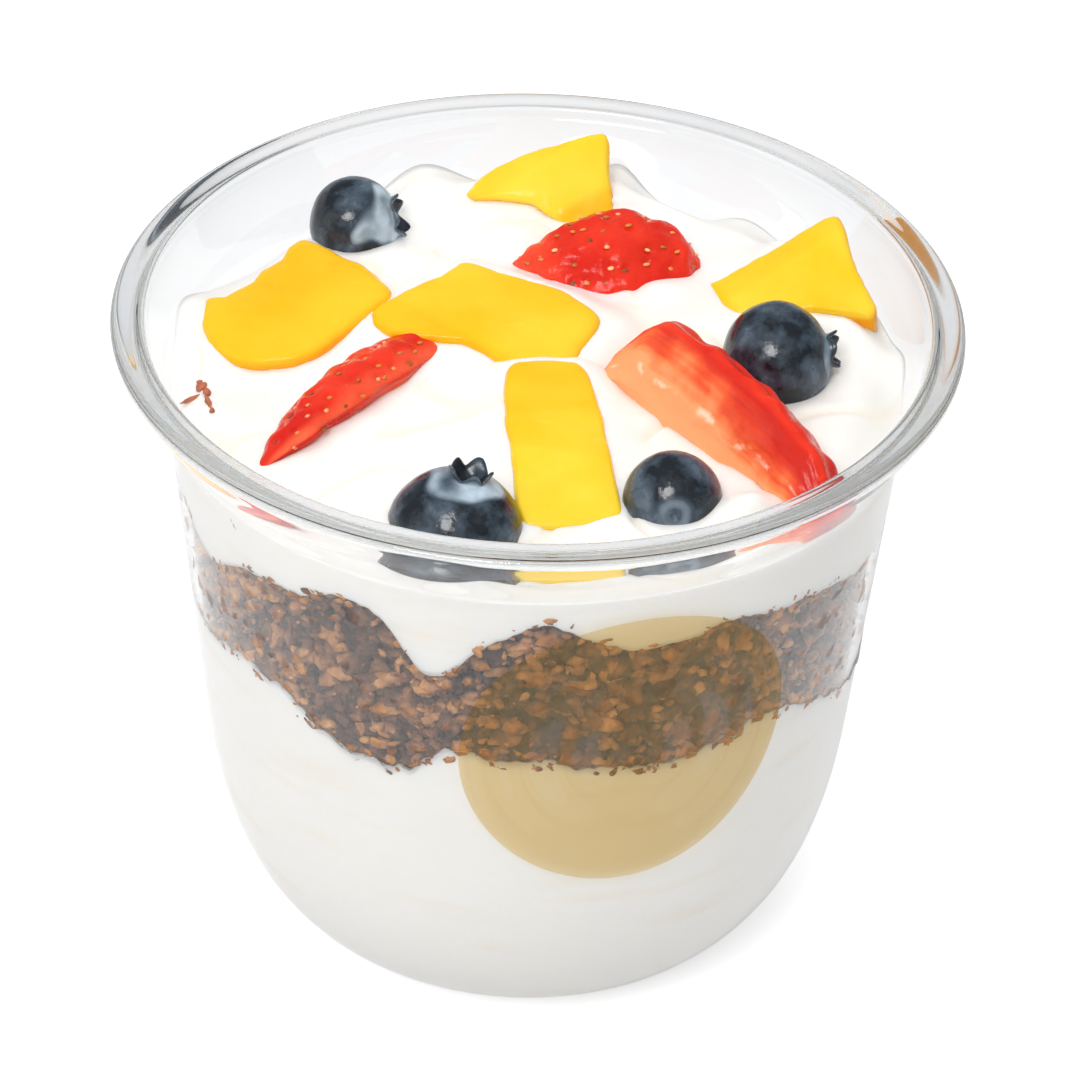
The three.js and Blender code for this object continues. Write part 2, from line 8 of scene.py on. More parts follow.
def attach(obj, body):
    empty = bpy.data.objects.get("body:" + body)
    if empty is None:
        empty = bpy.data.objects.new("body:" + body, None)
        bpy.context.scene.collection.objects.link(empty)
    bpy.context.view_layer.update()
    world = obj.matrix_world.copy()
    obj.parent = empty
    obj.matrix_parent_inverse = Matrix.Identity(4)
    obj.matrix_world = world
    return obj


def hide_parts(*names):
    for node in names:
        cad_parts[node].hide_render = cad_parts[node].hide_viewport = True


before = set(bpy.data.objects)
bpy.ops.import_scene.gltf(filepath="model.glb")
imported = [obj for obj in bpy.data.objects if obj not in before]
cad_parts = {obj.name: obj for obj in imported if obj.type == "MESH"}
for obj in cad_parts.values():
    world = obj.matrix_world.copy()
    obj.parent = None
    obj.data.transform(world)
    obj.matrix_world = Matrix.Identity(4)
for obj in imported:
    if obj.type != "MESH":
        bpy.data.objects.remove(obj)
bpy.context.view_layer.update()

# Yogurt parfait in a clear flared cup: lower yogurt, chocolate granola, upper yogurt and cut fruit.
# Lengths in this file are millimetres, and a pattern's scale is in cells a metre. Azimuth is in degrees
# round the cup, from the front (-Y) towards +X.
MM = 0.001

# ---------------------------------------------------------------------------------------------
# Sizes of the cup and the layers
# ---------------------------------------------------------------------------------------------
CUP_HEIGHT = 81.0
LIP_RADIUS = 49.0
LIP_INNER_RADIUS = 45.0
NECK_HEIGHT = 68.5
NECK_RADIUS = 42.7
WALL = 1.0
WALL_FOOT_HEIGHT = 27.0
WALL_FOOT_RADIUS = 38.6
FOOT_RADIUS = 23.0
BELLY_RADIUS = 32.6
BELLY_HEIGHT = 0.9
FOOT_RECESS_RADIUS = 18.0
FOOT_RECESS_DEPTH = 0.6
FLOOR_THICKNESS = 1.8
LEAN = (NECK_RADIUS - WALL_FOOT_RADIUS) / (NECK_HEIGHT - WALL_FOOT_HEIGHT)
CUP_AROUND = 420  # points in one ring
WALL_STEPS = 28  # rows in the foot's curve, and in the wall over it
# Corners of the curves round the lip, outward and up from its outer top, and the steps of each. They go over
# the outer edge, a shallow groove and the inner edge.
LIP_CURVES = [
    ((-0.25, -1.4), (-0.1, -1.1), (0.0, -0.9), (0.0, -0.6), 5),
    ((0.0, -0.6), (0.0, -0.15), (-0.3, 0.0), (-0.8, 0.0), 9),
    ((-0.8, 0.0), (-1.5, 0.0), (-2.1, -0.38), (-2.6, -0.38), 8),
    ((-2.6, -0.38), (-3.0, -0.38), (-3.1, 0.0), (-3.5, 0.0), 7),
    ((-3.5, 0.0), (-3.85, 0.0), (-4.0, -0.2), (-4.0, -0.8), 9),
]

YOGURT_REACH = 0.12  # how far the yogurt stands into the wall, so that no air is left between them
GRANOLA_REACH = 0.22  # the same for the granola
GRANOLA_BASE_LEVEL = 45.0
GRANOLA_TOP_LEVEL = 63.0
YOGURT_EDGE_LEVEL = 71.3  # where the upper yogurt meets the wall
YOGURT_LEVEL = 73.7  # of its top inside

LABEL_RADIUS = 19.8
LABEL_AZIMUTH = 17.5
LABEL_HEIGHT = 48.0
LABEL_FACES = (0.01, 0.045)  # how far the film's two faces lie off the wall

# [azimuth, half width in degrees, height]: how the edges of the granola rise and dip round the cup.
GRANOLA_TOP_WAVES = [
    [-62, 8, -3.7], [-25, 15, 3.6], [-15, 6, -6.8], [3, 8, 4.3], [32, 5, 1.6], [72, 19, -4.5],
    [115, 18, 2.0], [150, 13, -3.0], [192, 18, 2.4], [232, 11, -3.6], [265, 16, 1.0],
]
GRANOLA_BASE_WAVES = [
    [-50, 14, 3.8], [-25, 12, -2.0], [-12, 5.5, 3.2], [1, 11, 2.2], [42, 10, 2.0], [74, 16, -6.0],
    [112, 14, 2.0], [160, 16, -2.4], [205, 10, 2.4], [246, 14, -1.6], [282, 10, 1.0],
]
# The same for the line where the upper yogurt meets the wall.
YOGURT_EDGE_WAVES = [
    [-104, 7, 2.6], [-126, 9, -1.9], [-138, 6, -1.0], [-160, 8, 3.6], [168, 5, 3.6], [154, 5, -1.2],
    [144, 6, 1.2], [110, 8, 0.9], [96, 6, 1.8], [-60, 10, 0.5], [20, 14, 0.3],
]
# [x, y, spread, height]: the mounds and hollows that the spoon left in the top of the yogurt.
YOGURT_MOUNDS = [
    [-14, 37, 3.8, 2.4], [-17, 20, 3.4, 1.6], [-4, 26, 3.6, 2.2], [-11, -12, 7, 1.0], [15.5, 36, 3.6, 0.7],
    [15, 13.5, 3.0, 1.8], [9, 5, 3.2, 1.4], [24.5, -29, 2.6, 2.6], [-33, -3, 5.5, -2.0],
    [-33, 16, 7, -1.0], [-9, -39, 4.5, 2.4], [35, 8, 6, -0.8], [3, -32, 5, -1.5],
]


# ---------------------------------------------------------------------------------------------
# Curves and random fields
# ---------------------------------------------------------------------------------------------
def smoothstep(value, low, high):
    """0 below low, 1 above high, and 3t^2 - 2t^3 between them."""
    share = np.clip((value - low) / (high - low), 0, 1)
    return share * share * (3 - 2 * share)


def unit(vectors):
    """Vectors divided by their length."""
    return vectors / np.linalg.norm(vectors, axis=-1, keepdims=True)


def bezier(start, pull_out, pull_in, end, count):
    """Points of a cubic Bezier curve after its start: the four corners weighted by (1-t)^3, 3t(1-t)^2,
    3t^2(1-t) and t^3."""
    t = np.linspace(0, 1, count + 1)[1:, None]
    corners = np.array([start, pull_out, pull_in, end], float)
    weights = [(1 - t) ** 3, 3 * t * (1 - t) ** 2, 3 * t * t * (1 - t), t**3]
    return sum(weight * corner for weight, corner in zip(weights, corners))


def through(points, steps, tension=0.5, closed=False):
    """A smooth curve through points: between two of them a cubic with the tangent tension * (next - last)
    at each, steps points a span."""
    points = np.array(points, float)
    if closed:
        padded = np.concatenate([points[-1:], points, points[:2]])
    else:
        padded = np.concatenate([points[:1], points, points[-1:]])
    start, end = padded[1:-2], padded[2:-1]
    leave = tension * (end - padded[:-3])
    arrive = tension * (padded[3:] - start)
    t = (np.arange(steps) / steps)[None, :, None]
    cube, square = t**3, t**2
    made = (
        (2 * cube - 3 * square + 1) * start[:, None]
        + (cube - 2 * square + t) * leave[:, None]
        + (3 * square - 2 * cube) * end[:, None]
        + (cube - square) * arrive[:, None]
    ).reshape(-1, points.shape[1])
    return made if closed else np.concatenate([made, points[-1:]])


def field(points, size, seed, waves=28):
    """A smooth random height at points, about -1 to 1: the sum of sine waves of random directions and
    phases whose wavelengths lie round size."""
    random = np.random.default_rng(seed)
    points = np.asarray(points, float)
    total = np.zeros(points.shape[:-1])
    for _ in range(waves):
        direction = unit(random.normal(size=points.shape[-1]))
        length = size * random.uniform(0.6, 1.7)
        total += np.sin(points @ direction * (2 * math.pi / length) + random.uniform(0, 2 * math.pi))
    return total * math.sqrt(2 / waves) * 0.6


def wave_height(waves, azimuth):
    """The sum of bell curves: height * exp(-(degrees away from the centre / half width)^2)."""
    total = np.zeros(np.shape(azimuth))
    for centre, width, height in waves:
        away = (azimuth - centre + 180) % 360 - 180
        total = total + height * np.exp(-((away / width) ** 2))
    return total


def polar(radius, azimuth, height):
    """Points at a radius, an azimuth in degrees and a height."""
    angle = np.radians(azimuth)
    radius, angle, height = np.broadcast_arrays(radius, angle, height)
    return np.stack([radius * np.sin(angle), -radius * np.cos(angle), height], -1)


# ---------------------------------------------------------------------------------------------
# Meshes
# ---------------------------------------------------------------------------------------------
def grid_faces(rows, columns, first=0):
    """Four-sided faces between neighbouring rows of points, each row closed on itself."""
    row = np.arange(rows - 1)[:, None] * columns
    here = np.arange(columns)[None, :]
    after = (here + 1) % columns
    low, low_next = first + row + here, first + row + after
    return np.stack([low, low_next, low_next + columns, low + columns], -1).reshape(-1, 4)


def closed_rings(rings, low_pole, high_pole):
    """Points, quads and triangles of a closed surface: a grid of rings with a pole beyond each end."""
    rows, columns = rings.shape[:2]
    points = np.concatenate([rings.reshape(-1, 3), [low_pole, high_pole]])
    here = np.arange(columns)
    after = (here + 1) % columns
    last = (rows - 1) * columns
    low = np.stack([np.full(columns, rows * columns), after, here], -1)
    high = np.stack([np.full(columns, rows * columns + 1), last + here, last + after], -1)
    return points, grid_faces(rows, columns), np.concatenate([low, high])


def signed_volume(points, faces):
    """Six times the volume that the faces shut in, counted as fans from each face's first corner."""
    total = 0.0
    for k in range(1, faces.shape[1] - 1):
        a, b, c = points[faces[:, 0]], points[faces[:, k]], points[faces[:, k + 1]]
        total += float(np.sum(a * np.cross(b, c)))
    return total


def make_piece(name, points, quads, triangles, material, slot, nodes=(), values=None, crease=None):
    """A mesh object at the origin that rides on the body, with its faces turned outwards. nodes are the
    solids that it replaces, values holds point attributes, and crease is the angle in degrees past which
    an edge stays sharp."""
    points = np.asarray(points, float)
    volume = sum(signed_volume(points, f) for f in (quads, triangles) if len(f))
    if volume < 0:
        quads, triangles = quads[:, ::-1], triangles[:, ::-1]
    mesh = bpy.data.meshes.new(name)
    mesh.vertices.add(len(points))
    mesh.vertices.foreach_set("co", (points * MM).astype(np.float32).ravel())
    corners = np.concatenate([quads.ravel(), triangles.ravel()]).astype(np.int32)
    sides = np.concatenate([np.full(len(quads), 4), np.full(len(triangles), 3)]).astype(np.int32)
    mesh.loops.add(len(corners))
    mesh.loops.foreach_set("vertex_index", corners)
    mesh.polygons.add(len(sides))
    mesh.polygons.foreach_set("loop_start", (np.cumsum(sides) - sides).astype(np.int32))
    mesh.polygons.foreach_set("loop_total", sides)
    mesh.polygons.foreach_set("use_smooth", np.ones(len(sides), bool))
    mesh.update(calc_edges=True)
    mesh.validate()
    for key, value in (values or {}).items():
        attribute = mesh.attributes.new(key, "FLOAT", "POINT")
        attribute.data.foreach_set("value", np.asarray(value, np.float32).ravel())
    if crease is not None:
        mesh.set_sharp_from_angle(angle=math.radians(crease))
    mesh.materials.append(material)
    piece = bpy.data.objects.new(name, mesh)
    bpy.context.scene.collection.objects.link(piece)
    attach(piece, "root")
    if nodes:
        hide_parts(*nodes)
    return piece


def with_poles(rings, low, high):
    """The values of a grid of rings in one row, and those of its two poles."""
    return np.concatenate([rings.ravel(), [low, high]])


def lump_template(columns, rows):
    """A ball of unit radius as rings and two poles, for small bits that are repeated."""
    rise = np.radians(np.linspace(-90, 90, rows + 2)[1:-1])
    turn = np.arange(columns) / columns * 360
    rings = polar(np.cos(rise)[:, None], turn[None, :], np.sin(rise)[:, None])
    return closed_rings(rings, [0, 0, -1], [0, 0, 1])


def scatter(template, places, turns, sizes):
    """Many copies of a template: each is sized along its own three directions, turned and put in place.
    Gives the points as (copy, point, 3) and the quads and triangles of all copies."""
    points, quads, triangles = template
    shaped = points if points.ndim == 3 else points[None]
    made = places[:, None, :] + np.einsum("nij,nvj->nvi", turns, shaped * sizes[:, None, :])
    offset = (np.arange(len(places)) * made.shape[1])[:, None, None]
    return made, (quads[None] + offset).reshape(-1, 4), (triangles[None] + offset).reshape(-1, 3)


def frames(normals, spin):
    """Turning matrices whose third direction is each normal and whose first is spun round it."""
    helper = np.where(np.abs(normals[:, 2:]) < 0.9, [[0.0, 0.0, 1.0]], [[1.0, 0.0, 0.0]])
    across = unit(np.cross(helper, normals))
    up = np.cross(normals, across)
    cos, sin = np.cos(spin)[:, None], np.sin(spin)[:, None]
    return np.stack([across * cos + up * sin, up * cos - across * sin, normals], -1)


# ---------------------------------------------------------------------------------------------
# Materials
# ---------------------------------------------------------------------------------------------
def add(tree, kind, inputs=None, **settings):
    """A shader node with its settings, and its inputs given as values or as sockets to link."""
    made = tree.nodes.new(kind)
    for key, value in settings.items():
        setattr(made, key, value)
    for key, value in (inputs or {}).items():
        if isinstance(value, bpy.types.NodeSocket):
            tree.links.new(value, made.inputs[key])
        else:
            made.inputs[key].default_value = value
    return made


def build_mottle():
    """Group: a soft noise at a Place, spread between Low and High to a share from 0 to 1."""
    tree = bpy.data.node_groups.new("Mottle", "ShaderNodeTree")
    tree.interface.new_socket(name="Place", in_out="INPUT", socket_type="NodeSocketVector")
    for key, value in (("Scale", 300.0), ("Detail", 3.0), ("Low", 0.35), ("High", 0.65)):
        socket = tree.interface.new_socket(name=key, in_out="INPUT", socket_type="NodeSocketFloat")
        socket.default_value = value
    stretch = tree.interface.new_socket(name="Stretch", in_out="INPUT", socket_type="NodeSocketVector")
    stretch.default_value = (1, 1, 1)
    tree.interface.new_socket(name="Share", in_out="OUTPUT", socket_type="NodeSocketFloat")
    given = add(tree, "NodeGroupInput")
    mapping = add(
        tree, "ShaderNodeMapping", {"Vector": given.outputs["Place"], "Scale": given.outputs["Stretch"]},
    )
    noise = add(
        tree,
        "ShaderNodeTexNoise",
        {
            "Vector": mapping.outputs["Vector"],
            "Scale": given.outputs["Scale"],
            "Detail": given.outputs["Detail"],
        },
    )
    spread = add(
        tree,
        "ShaderNodeMapRange",
        {
            "Value": noise.outputs["Fac"],
            "From Min": given.outputs["Low"],
            "From Max": given.outputs["High"],
        },
    )
    add(tree, "NodeGroupOutput", {"Share": spread.outputs["Result"]})
    return tree


MOTTLE = build_mottle()


def mottle(tree, scale, detail=3.0, low=0.35, high=0.65, stretch=(1, 1, 1), place=None):
    """Share of the Mottle group in a material, on Object coordinates unless a place is given."""
    placed = add(tree, "ShaderNodeGroup", node_tree=MOTTLE)
    place = place or add(tree, "ShaderNodeTexCoord").outputs["Object"]
    tree.links.new(place, placed.inputs["Place"])
    values = {"Scale": scale, "Detail": detail, "Low": low, "High": high, "Stretch": stretch}
    for key, value in values.items():
        placed.inputs[key].default_value = value
    return placed.outputs["Share"]


def attribute(tree, name):
    """The value of a point attribute."""
    return add(tree, "ShaderNodeAttribute", attribute_name=name).outputs["Fac"]


def mixed(tree, share, low, high):
    """A colour between low and high by a share. The sockets of its mode for colours are 0, 6 and 7."""
    made = add(tree, "ShaderNodeMix", data_type="RGBA")
    for socket, value in ((made.inputs[0], share), (made.inputs[6], low), (made.inputs[7], high)):
        if isinstance(value, bpy.types.NodeSocket):
            tree.links.new(value, socket)
        else:
            socket.default_value = value if isinstance(value, float) else (*value, 1.0)
    return made.outputs[2]


def ramp(tree, value, stops):
    """A colour ramp with stops of (place, colour)."""
    made = add(tree, "ShaderNodeValToRGB", {"Fac": value})
    elements = made.color_ramp.elements
    while len(elements) < len(stops):
        elements.new(0.5)
    for element, (place, colour) in zip(elements, stops):
        element.position = place
        element.color = (*colour, 1.0)
    return made.outputs["Color"]


def maths(tree, operation, first, second=0.0):
    """Two values joined by one sum, product or the like."""
    return add(tree, "ShaderNodeMath", {0: first, 1: second}, operation=operation).outputs[0]


def weighted(tree, *terms, start=0.0):
    """A start value plus the sum of other values, each times its weight."""
    total = start
    for value, weight in terms:
        inputs = {0: value, 1: weight, 2: total}
        total = add(tree, "ShaderNodeMath", inputs, operation="MULTIPLY_ADD").outputs[0]
    return total


def ranged(tree, value, from_low, from_high, to_low, to_high):
    """A value carried from one range to another, held at its ends."""
    inputs = {"Value": value, "From Min": from_low, "From Max": from_high}
    inputs.update({"To Min": to_low, "To Max": to_high})
    return add(tree, "ShaderNodeMapRange", inputs).outputs["Result"]


def thinned(tree, value, scale, least):
    """A value that soft patches thin, down to its least share."""
    return maths(tree, "MULTIPLY", value, ranged(tree, mottle(tree, scale), 0.0, 1.0, least, 1.0))


def bump(tree, height, distance, strength=1.0):
    """A normal from a height map; distance is in millimetres."""
    inputs = {"Height": height, "Distance": distance * MM, "Strength": strength}
    return add(tree, "ShaderNodeBump", inputs).outputs["Normal"]


def new_material(name):
    """A material with one Principled shader wired to its output."""
    material = bpy.data.materials.new(name)
    material.use_nodes = True
    tree = material.node_tree
    tree.nodes.clear()
    output = add(tree, "ShaderNodeOutputMaterial")
    surface = add(tree, "ShaderNodeBsdfPrincipled")
    tree.links.new(surface.outputs["BSDF"], output.inputs["Surface"])
    return material, tree, surface, output


def set_surface(tree, surface, **inputs):
    """Sets the Principled shader's sockets; an underscore stands for a space."""
    for key, value in inputs.items():
        socket = surface.inputs[key.replace("_", " ")]
        if isinstance(value, bpy.types.NodeSocket):
            tree.links.new(value, socket)
        elif isinstance(value, tuple) and len(value) == 3 and socket.type == "RGBA":
            socket.default_value = (*value, 1.0)
        else:
            socket.default_value = value


def let_lamps_through(tree, surface, output, tint):
    """Rays towards the lamps, and scattered light, cross the surface straight, dimmed by the tint."""
    path = add(tree, "ShaderNodeLightPath")
    either = maths(tree, "MAXIMUM", path.outputs["Is Shadow Ray"], path.outputs["Is Diffuse Ray"])
    clear = add(tree, "ShaderNodeBsdfTransparent", {"Color": (*tint, 1.0)})
    shaders = {0: either, 1: surface.outputs["BSDF"], 2: clear.outputs["BSDF"]}
    choice = add(tree, "ShaderNodeMixShader", shaders)
    tree.links.new(choice.outputs[0], output.inputs["Surface"])


def clear_plastic():
    """Clear, glossy plastic of the cup, faintly grey where it is seen along its thickness."""
    material, tree, surface, output = new_material("clear plastic")
    set_surface(
        tree, surface, Base_Color=(0.985, 0.99, 0.99), Roughness=0.02, IOR=1.55, Transmission_Weight=1.0,
    )
    let_lamps_through(tree, surface, output, (0.97, 0.97, 0.97))
    inside = add(tree, "ShaderNodeVolumeAbsorption", {"Color": (0.50, 0.53, 0.55, 1.0), "Density": 50.0})
    tree.links.new(inside.outputs[0], output.inputs["Volume"])
    return material


def gold_film():
    """See-through gold film with a faint haze."""
    material, tree, surface, output = new_material("gold film")
    set_surface(
        tree, surface, Base_Color=(0.890, 0.775, 0.560), Roughness=0.1, IOR=1.05,
        Transmission_Weight=0.97,
    )
    let_lamps_through(tree, surface, output, (0.929, 0.873, 0.744))
    return material


def yogurt():
    """Thick white yogurt: a milky body, a soft shine, faint creamy streaks, and a cream colour painted into
    its folds as painted shade.
    """
    material, tree, surface, _ = new_material("yogurt")
    streaks_and_fold_shade = mottle(tree, 90.0, 4.0, 0.56, 0.75, (0.6, 0.6, 3.0))
    # Painted shade: the folds are coloured cream, where shade falls in the spoon's creases.
    streaks_and_fold_shade = maths(tree, "MAXIMUM", streaks_and_fold_shade, attribute(tree, "fold_shade"))
    colour = mixed(tree, streaks_and_fold_shade, (0.93, 0.90, 0.855), (0.91, 0.845, 0.75))
    set_surface(
        tree, surface, Base_Color=colour, Roughness=0.35, IOR=1.38, Subsurface_Weight=0.5,
        Subsurface_Radius=(1.0, 0.85, 0.7), Subsurface_Scale=3.0 * MM,
    )
    return material


def granola_crumb():
    """Chocolate granola: toasted orange brown on its flakes, dull with oily specks, and painted darker where
    it lies deep behind the wall, as painted shade in its gaps.
    """
    material, tree, surface, _ = new_material("chocolate granola")
    grain = mottle(tree, 520.0, 6.0, 0.34, 0.68)
    clumps = mottle(tree, 150.0, 2.0, 0.35, 0.65)
    # Painted shade: this attribute holds each bit's toastedness, lowered where the granola lies deep behind
    # the wall.
    toasting_and_shade = attribute(tree, "toast_and_shade")
    share = weighted(tree, (grain, 0.44), (clumps, 0.18), (toasting_and_shade, 0.62), start=-0.14)
    colour = ramp(
        tree, share,
        [(0.0, (0.03, 0.014, 0.010)), (0.25, (0.10, 0.043, 0.024)), (0.5, (0.27, 0.112, 0.045)),
         (0.75, (0.50, 0.215, 0.075)), (1.0, (0.72, 0.36, 0.14))],
    )
    relief = mottle(tree, 1500.0, 5.0, 0.2, 0.8)
    set_surface(
        tree, surface, Base_Color=colour, Roughness=ranged(tree, grain, 0.0, 1.0, 0.75, 0.5),
        Normal=bump(tree, relief, 0.35),
    )
    return material


def stray_crumb():
    """Reddish brown crumb."""
    material, tree, surface, _ = new_material("stray crumb")
    grain = mottle(tree, 900.0, 4.0, 0.3, 0.7)
    colour = mixed(tree, grain, (0.30, 0.10, 0.05), (0.62, 0.16, 0.08))
    set_surface(tree, surface, Base_Color=colour, Roughness=0.5, Normal=bump(tree, grain, 0.05))
    return material


def mango_flesh():
    """Ripe mango: deep yellow, wet, with faint fibres along the chunk. Its sides are painted deeper orange as
    painted shade, and some facets are painted paler as painted light, others deeper as painted shade.
    """
    material, tree, surface, _ = new_material("mango flesh")
    patches = mottle(tree, 110.0, 2.0, 0.3, 0.7)
    fibres = mottle(tree, 420.0, 3.0, 0.3, 0.75, (0.4, 1.0, 1.0))
    deep = mixed(tree, patches, (0.96, 0.46, 0.005), (0.97, 0.54, 0.014))
    light = mixed(tree, patches, (0.97, 0.57, 0.012), (0.97, 0.665, 0.05))
    # The pale attribute holds each chunk's own paleness, raised by painted light and lowered by painted shade
    # on its facets.
    colour = mixed(tree, attribute(tree, "pale"), deep, light)
    # Painted shade: the chunk's sides are coloured deeper orange.
    colour = mixed(tree, attribute(tree, "side"), colour, (0.93, 0.38, 0.005))
    set_surface(
        tree, surface, Base_Color=colour, Roughness=ranged(tree, fibres, 0.0, 1.0, 0.16, 0.3), IOR=1.36,
        Subsurface_Weight=0.3, Subsurface_Radius=(1.0, 0.45, 0.1), Subsurface_Scale=2.0 * MM,
        Specular_IOR_Level=0.35, Normal=bump(tree, fibres, 0.035),
    )
    return material


# The pale line at the core is partly pale core tissue and partly a painted wet highlight.
CORE_DEPTH = 0.56  # where the pale core shows on a cut face, from 0 at the skin to 1 at the axis


def strawberry_flesh():
    """Strawberry: red skin that pales to one edge, and a cut face that goes from red by the skin to pale
    orange inside, redder towards the tip, with wet fibres along it and a broken pale line at the core, which
    is partly pale core tissue and partly a painted wet highlight.
    Its patterns on the cut face are placed by the share along the berry, the depth and the turn."""
    material, tree, surface, _ = new_material("strawberry")
    depth, along, turn = (attribute(tree, name) for name in ("depth", "along", "turn"))
    place = add(tree, "ShaderNodeCombineXYZ", {"X": along, "Y": depth, "Z": turn}).outputs[0]
    fibres = mottle(tree, 1.0, 4.0, 0.3, 0.7, (1.6, 9.0, 2.0), place)
    rays = mottle(tree, 1.0, 3.0, 0.3, 0.7, (7.0, 2.5, 2.0), place)
    cut = ramp(
        tree, weighted(tree, (along, -0.50), (fibres, 0.16), (rays, 0.22), start=depth),
        [(0.0, (0.62, 0.020, 0.009)), (0.16, (0.72, 0.045, 0.018)), (0.28, (0.84, 0.105, 0.031)),
         (0.37, (0.94, 0.23, 0.078)), (0.47, (0.98, 0.36, 0.15)), (1.0, (0.98, 0.39, 0.165))],
    )
    beside_core = weighted(tree, (rays, 0.1), start=maths(tree, "SUBTRACT", depth, CORE_DEPTH))
    from_core = maths(tree, "ABSOLUTE", beside_core)
    broken = mottle(tree, 1.0, 3.0, 0.5, 0.6, (14.0, 5.0, 2.0), place)
    # Partly pale core tissue and partly a painted wet highlight, in a broken line along the cut face.
    core_line_and_highlight = maths(tree, "MULTIPLY", ranged(tree, from_core, 0.01, 0.04, 0.7, 0.0), broken)
    cut = mixed(tree, core_line_and_highlight, cut, (0.99, 0.72, 0.55))
    patches = mottle(tree, 160.0, 3.0, 0.3, 0.7)
    skin = mixed(tree, patches, (0.62, 0.012, 0.005), (0.81, 0.038, 0.012))
    skin = mixed(tree, thinned(tree, attribute(tree, "pale"), 240.0, 0.55), skin, (0.93, 0.14, 0.055))
    colour = mixed(tree, ranged(tree, depth, 0.02, 0.09, 0.0, 1.0), skin, cut)
    fine = mottle(tree, 1100.0, 3.0, 0.3, 0.7)
    relief = weighted(tree, (fibres, 1.6), start=fine)
    set_surface(
        tree, surface, Base_Color=colour, Roughness=ranged(tree, fine, 0.0, 1.0, 0.14, 0.28), IOR=1.37,
        Subsurface_Weight=0.2, Subsurface_Radius=(1.0, 0.25, 0.12), Subsurface_Scale=1.5 * MM,
        Specular_IOR_Level=0.4, Normal=bump(tree, relief, 0.05),
    )
    return material


def strawberry_seed():
    """Seeds of the strawberry, from pale gold to dark brown."""
    material, tree, surface, _ = new_material("strawberry seed")
    grain = mottle(tree, 420.0, 1.0, 0.3, 0.7)
    colour = ramp(
        tree, weighted(tree, (grain, 0.3), (attribute(tree, "tone"), 0.8)),
        [(0.0, (0.09, 0.026, 0.012)), (0.3, (0.30, 0.085, 0.022)), (0.6, (0.70, 0.26, 0.045)),
         (1.0, (0.93, 0.55, 0.27))],
    )
    set_surface(tree, surface, Base_Color=colour, Roughness=0.3, Normal=bump(tree, grain, 0.05))
    return material


def blueberry_skin():
    """Blueberry: a navy skin under a waxy bloom that lies in blotches, gathers round the crown and is
    rubbed off in its hollow."""
    material, tree, surface, _ = new_material("blueberry skin")
    blotches = mottle(tree, 210.0, 5.0, 0.48, 0.64)
    specks = mottle(tree, 800.0, 3.0, 0.48, 0.66)
    thin = weighted(tree, (blotches, 0.2), (specks, 0.03))
    share = maths(tree, "MAXIMUM", thin, thinned(tree, attribute(tree, "bloom"), 260.0, 0.45))
    colour = ramp(
        tree, share,
        [(0.0, (0.003, 0.007, 0.012)), (0.16, (0.055, 0.082, 0.112)), (1.0, (0.60, 0.73, 0.83))],
    )
    fine = mottle(tree, 1400.0, 3.0, 0.3, 0.7)
    set_surface(
        tree, surface, Base_Color=colour, Roughness=ranged(tree, share, 0.0, 0.5, 0.15, 0.5), IOR=1.5,
        Normal=bump(tree, fine, 0.02),
    )
    return material


# ---------------------------------------------------------------------------------------------
# Cup
# ---------------------------------------------------------------------------------------------
def side_path(inset, floor, count):
    """Foot curve and straight wall: a Bezier curve from the foot, then a line to the neck."""
    reach = 14.0  # how far down the wall's line pulls the curve
    foot = bezier(
        (FOOT_RADIUS, floor),
        (BELLY_RADIUS - inset, BELLY_HEIGHT + floor),
        (WALL_FOOT_RADIUS - inset - reach * LEAN, WALL_FOOT_HEIGHT - reach),
        (WALL_FOOT_RADIUS - inset, WALL_FOOT_HEIGHT),
        count,
    )
    share = np.linspace(0, 1, count + 1)[1:, None]
    top = np.array([NECK_RADIUS - inset, NECK_HEIGHT])
    return np.concatenate([[[FOOT_RADIUS, floor]], foot, foot[-1] + (top - foot[-1]) * share])


def inner_profile():
    """Inner face of the cup from the floor's edge to the lip's inner edge."""
    lip = (LIP_INNER_RADIUS, CUP_HEIGHT - 0.8)
    neck = NECK_RADIUS - WALL
    flare = bezier((neck, NECK_HEIGHT), (neck, 72.0), (44.4, 75.0), lip, 24)
    return np.concatenate([side_path(WALL, FLOOR_THICKNESS, WALL_STEPS), flare])


INNER = inner_profile()


def inner_radius(height):
    """Radius of the inner face at a height."""
    return np.interp(height, INNER[:, 1], INNER[:, 0])


def build_cup():
    """The cup's outline turned round its axis: recessed foot, belly, wall, flare, rounded lip, and back
    down the inner face to the floor."""
    foot = np.array([
        [8.0, FOOT_RECESS_DEPTH],
        [FOOT_RECESS_RADIUS - 1.2, FOOT_RECESS_DEPTH],
        [FOOT_RECESS_RADIUS - 0.9, FOOT_RECESS_DEPTH - 0.08],
        [FOOT_RECESS_RADIUS - 0.1, 0.08],
        [FOOT_RECESS_RADIUS + 0.2, 0.0],
        [FOOT_RADIUS - 0.5, 0.0],
    ])
    wall = side_path(0.0, 0.0, WALL_STEPS)
    outer_top = np.array([LIP_RADIUS, CUP_HEIGHT])
    lip_start = outer_top + LIP_CURVES[0][0]
    flare = bezier((NECK_RADIUS, NECK_HEIGHT), (NECK_RADIUS, 71.2), (45.2, 73.6), lip_start, 28)
    lip = np.concatenate([outer_top + bezier(*curve) for curve in LIP_CURVES])
    floor = [[9.0, FLOOR_THICKNESS]]
    profile = np.concatenate([foot, wall, flare, lip, INNER[::-1][1:], floor])
    turn = np.arange(CUP_AROUND) / CUP_AROUND * 360
    rings = polar(profile[:, 0][:, None], turn[None, :], profile[:, 1][:, None])
    made = closed_rings(rings, [0, 0, FOOT_RECESS_DEPTH], [0, 0, FLOOR_THICKNESS])
    make_piece("clear_cup_shell", *made, CLEAR, "clear_cup", ["cup"])


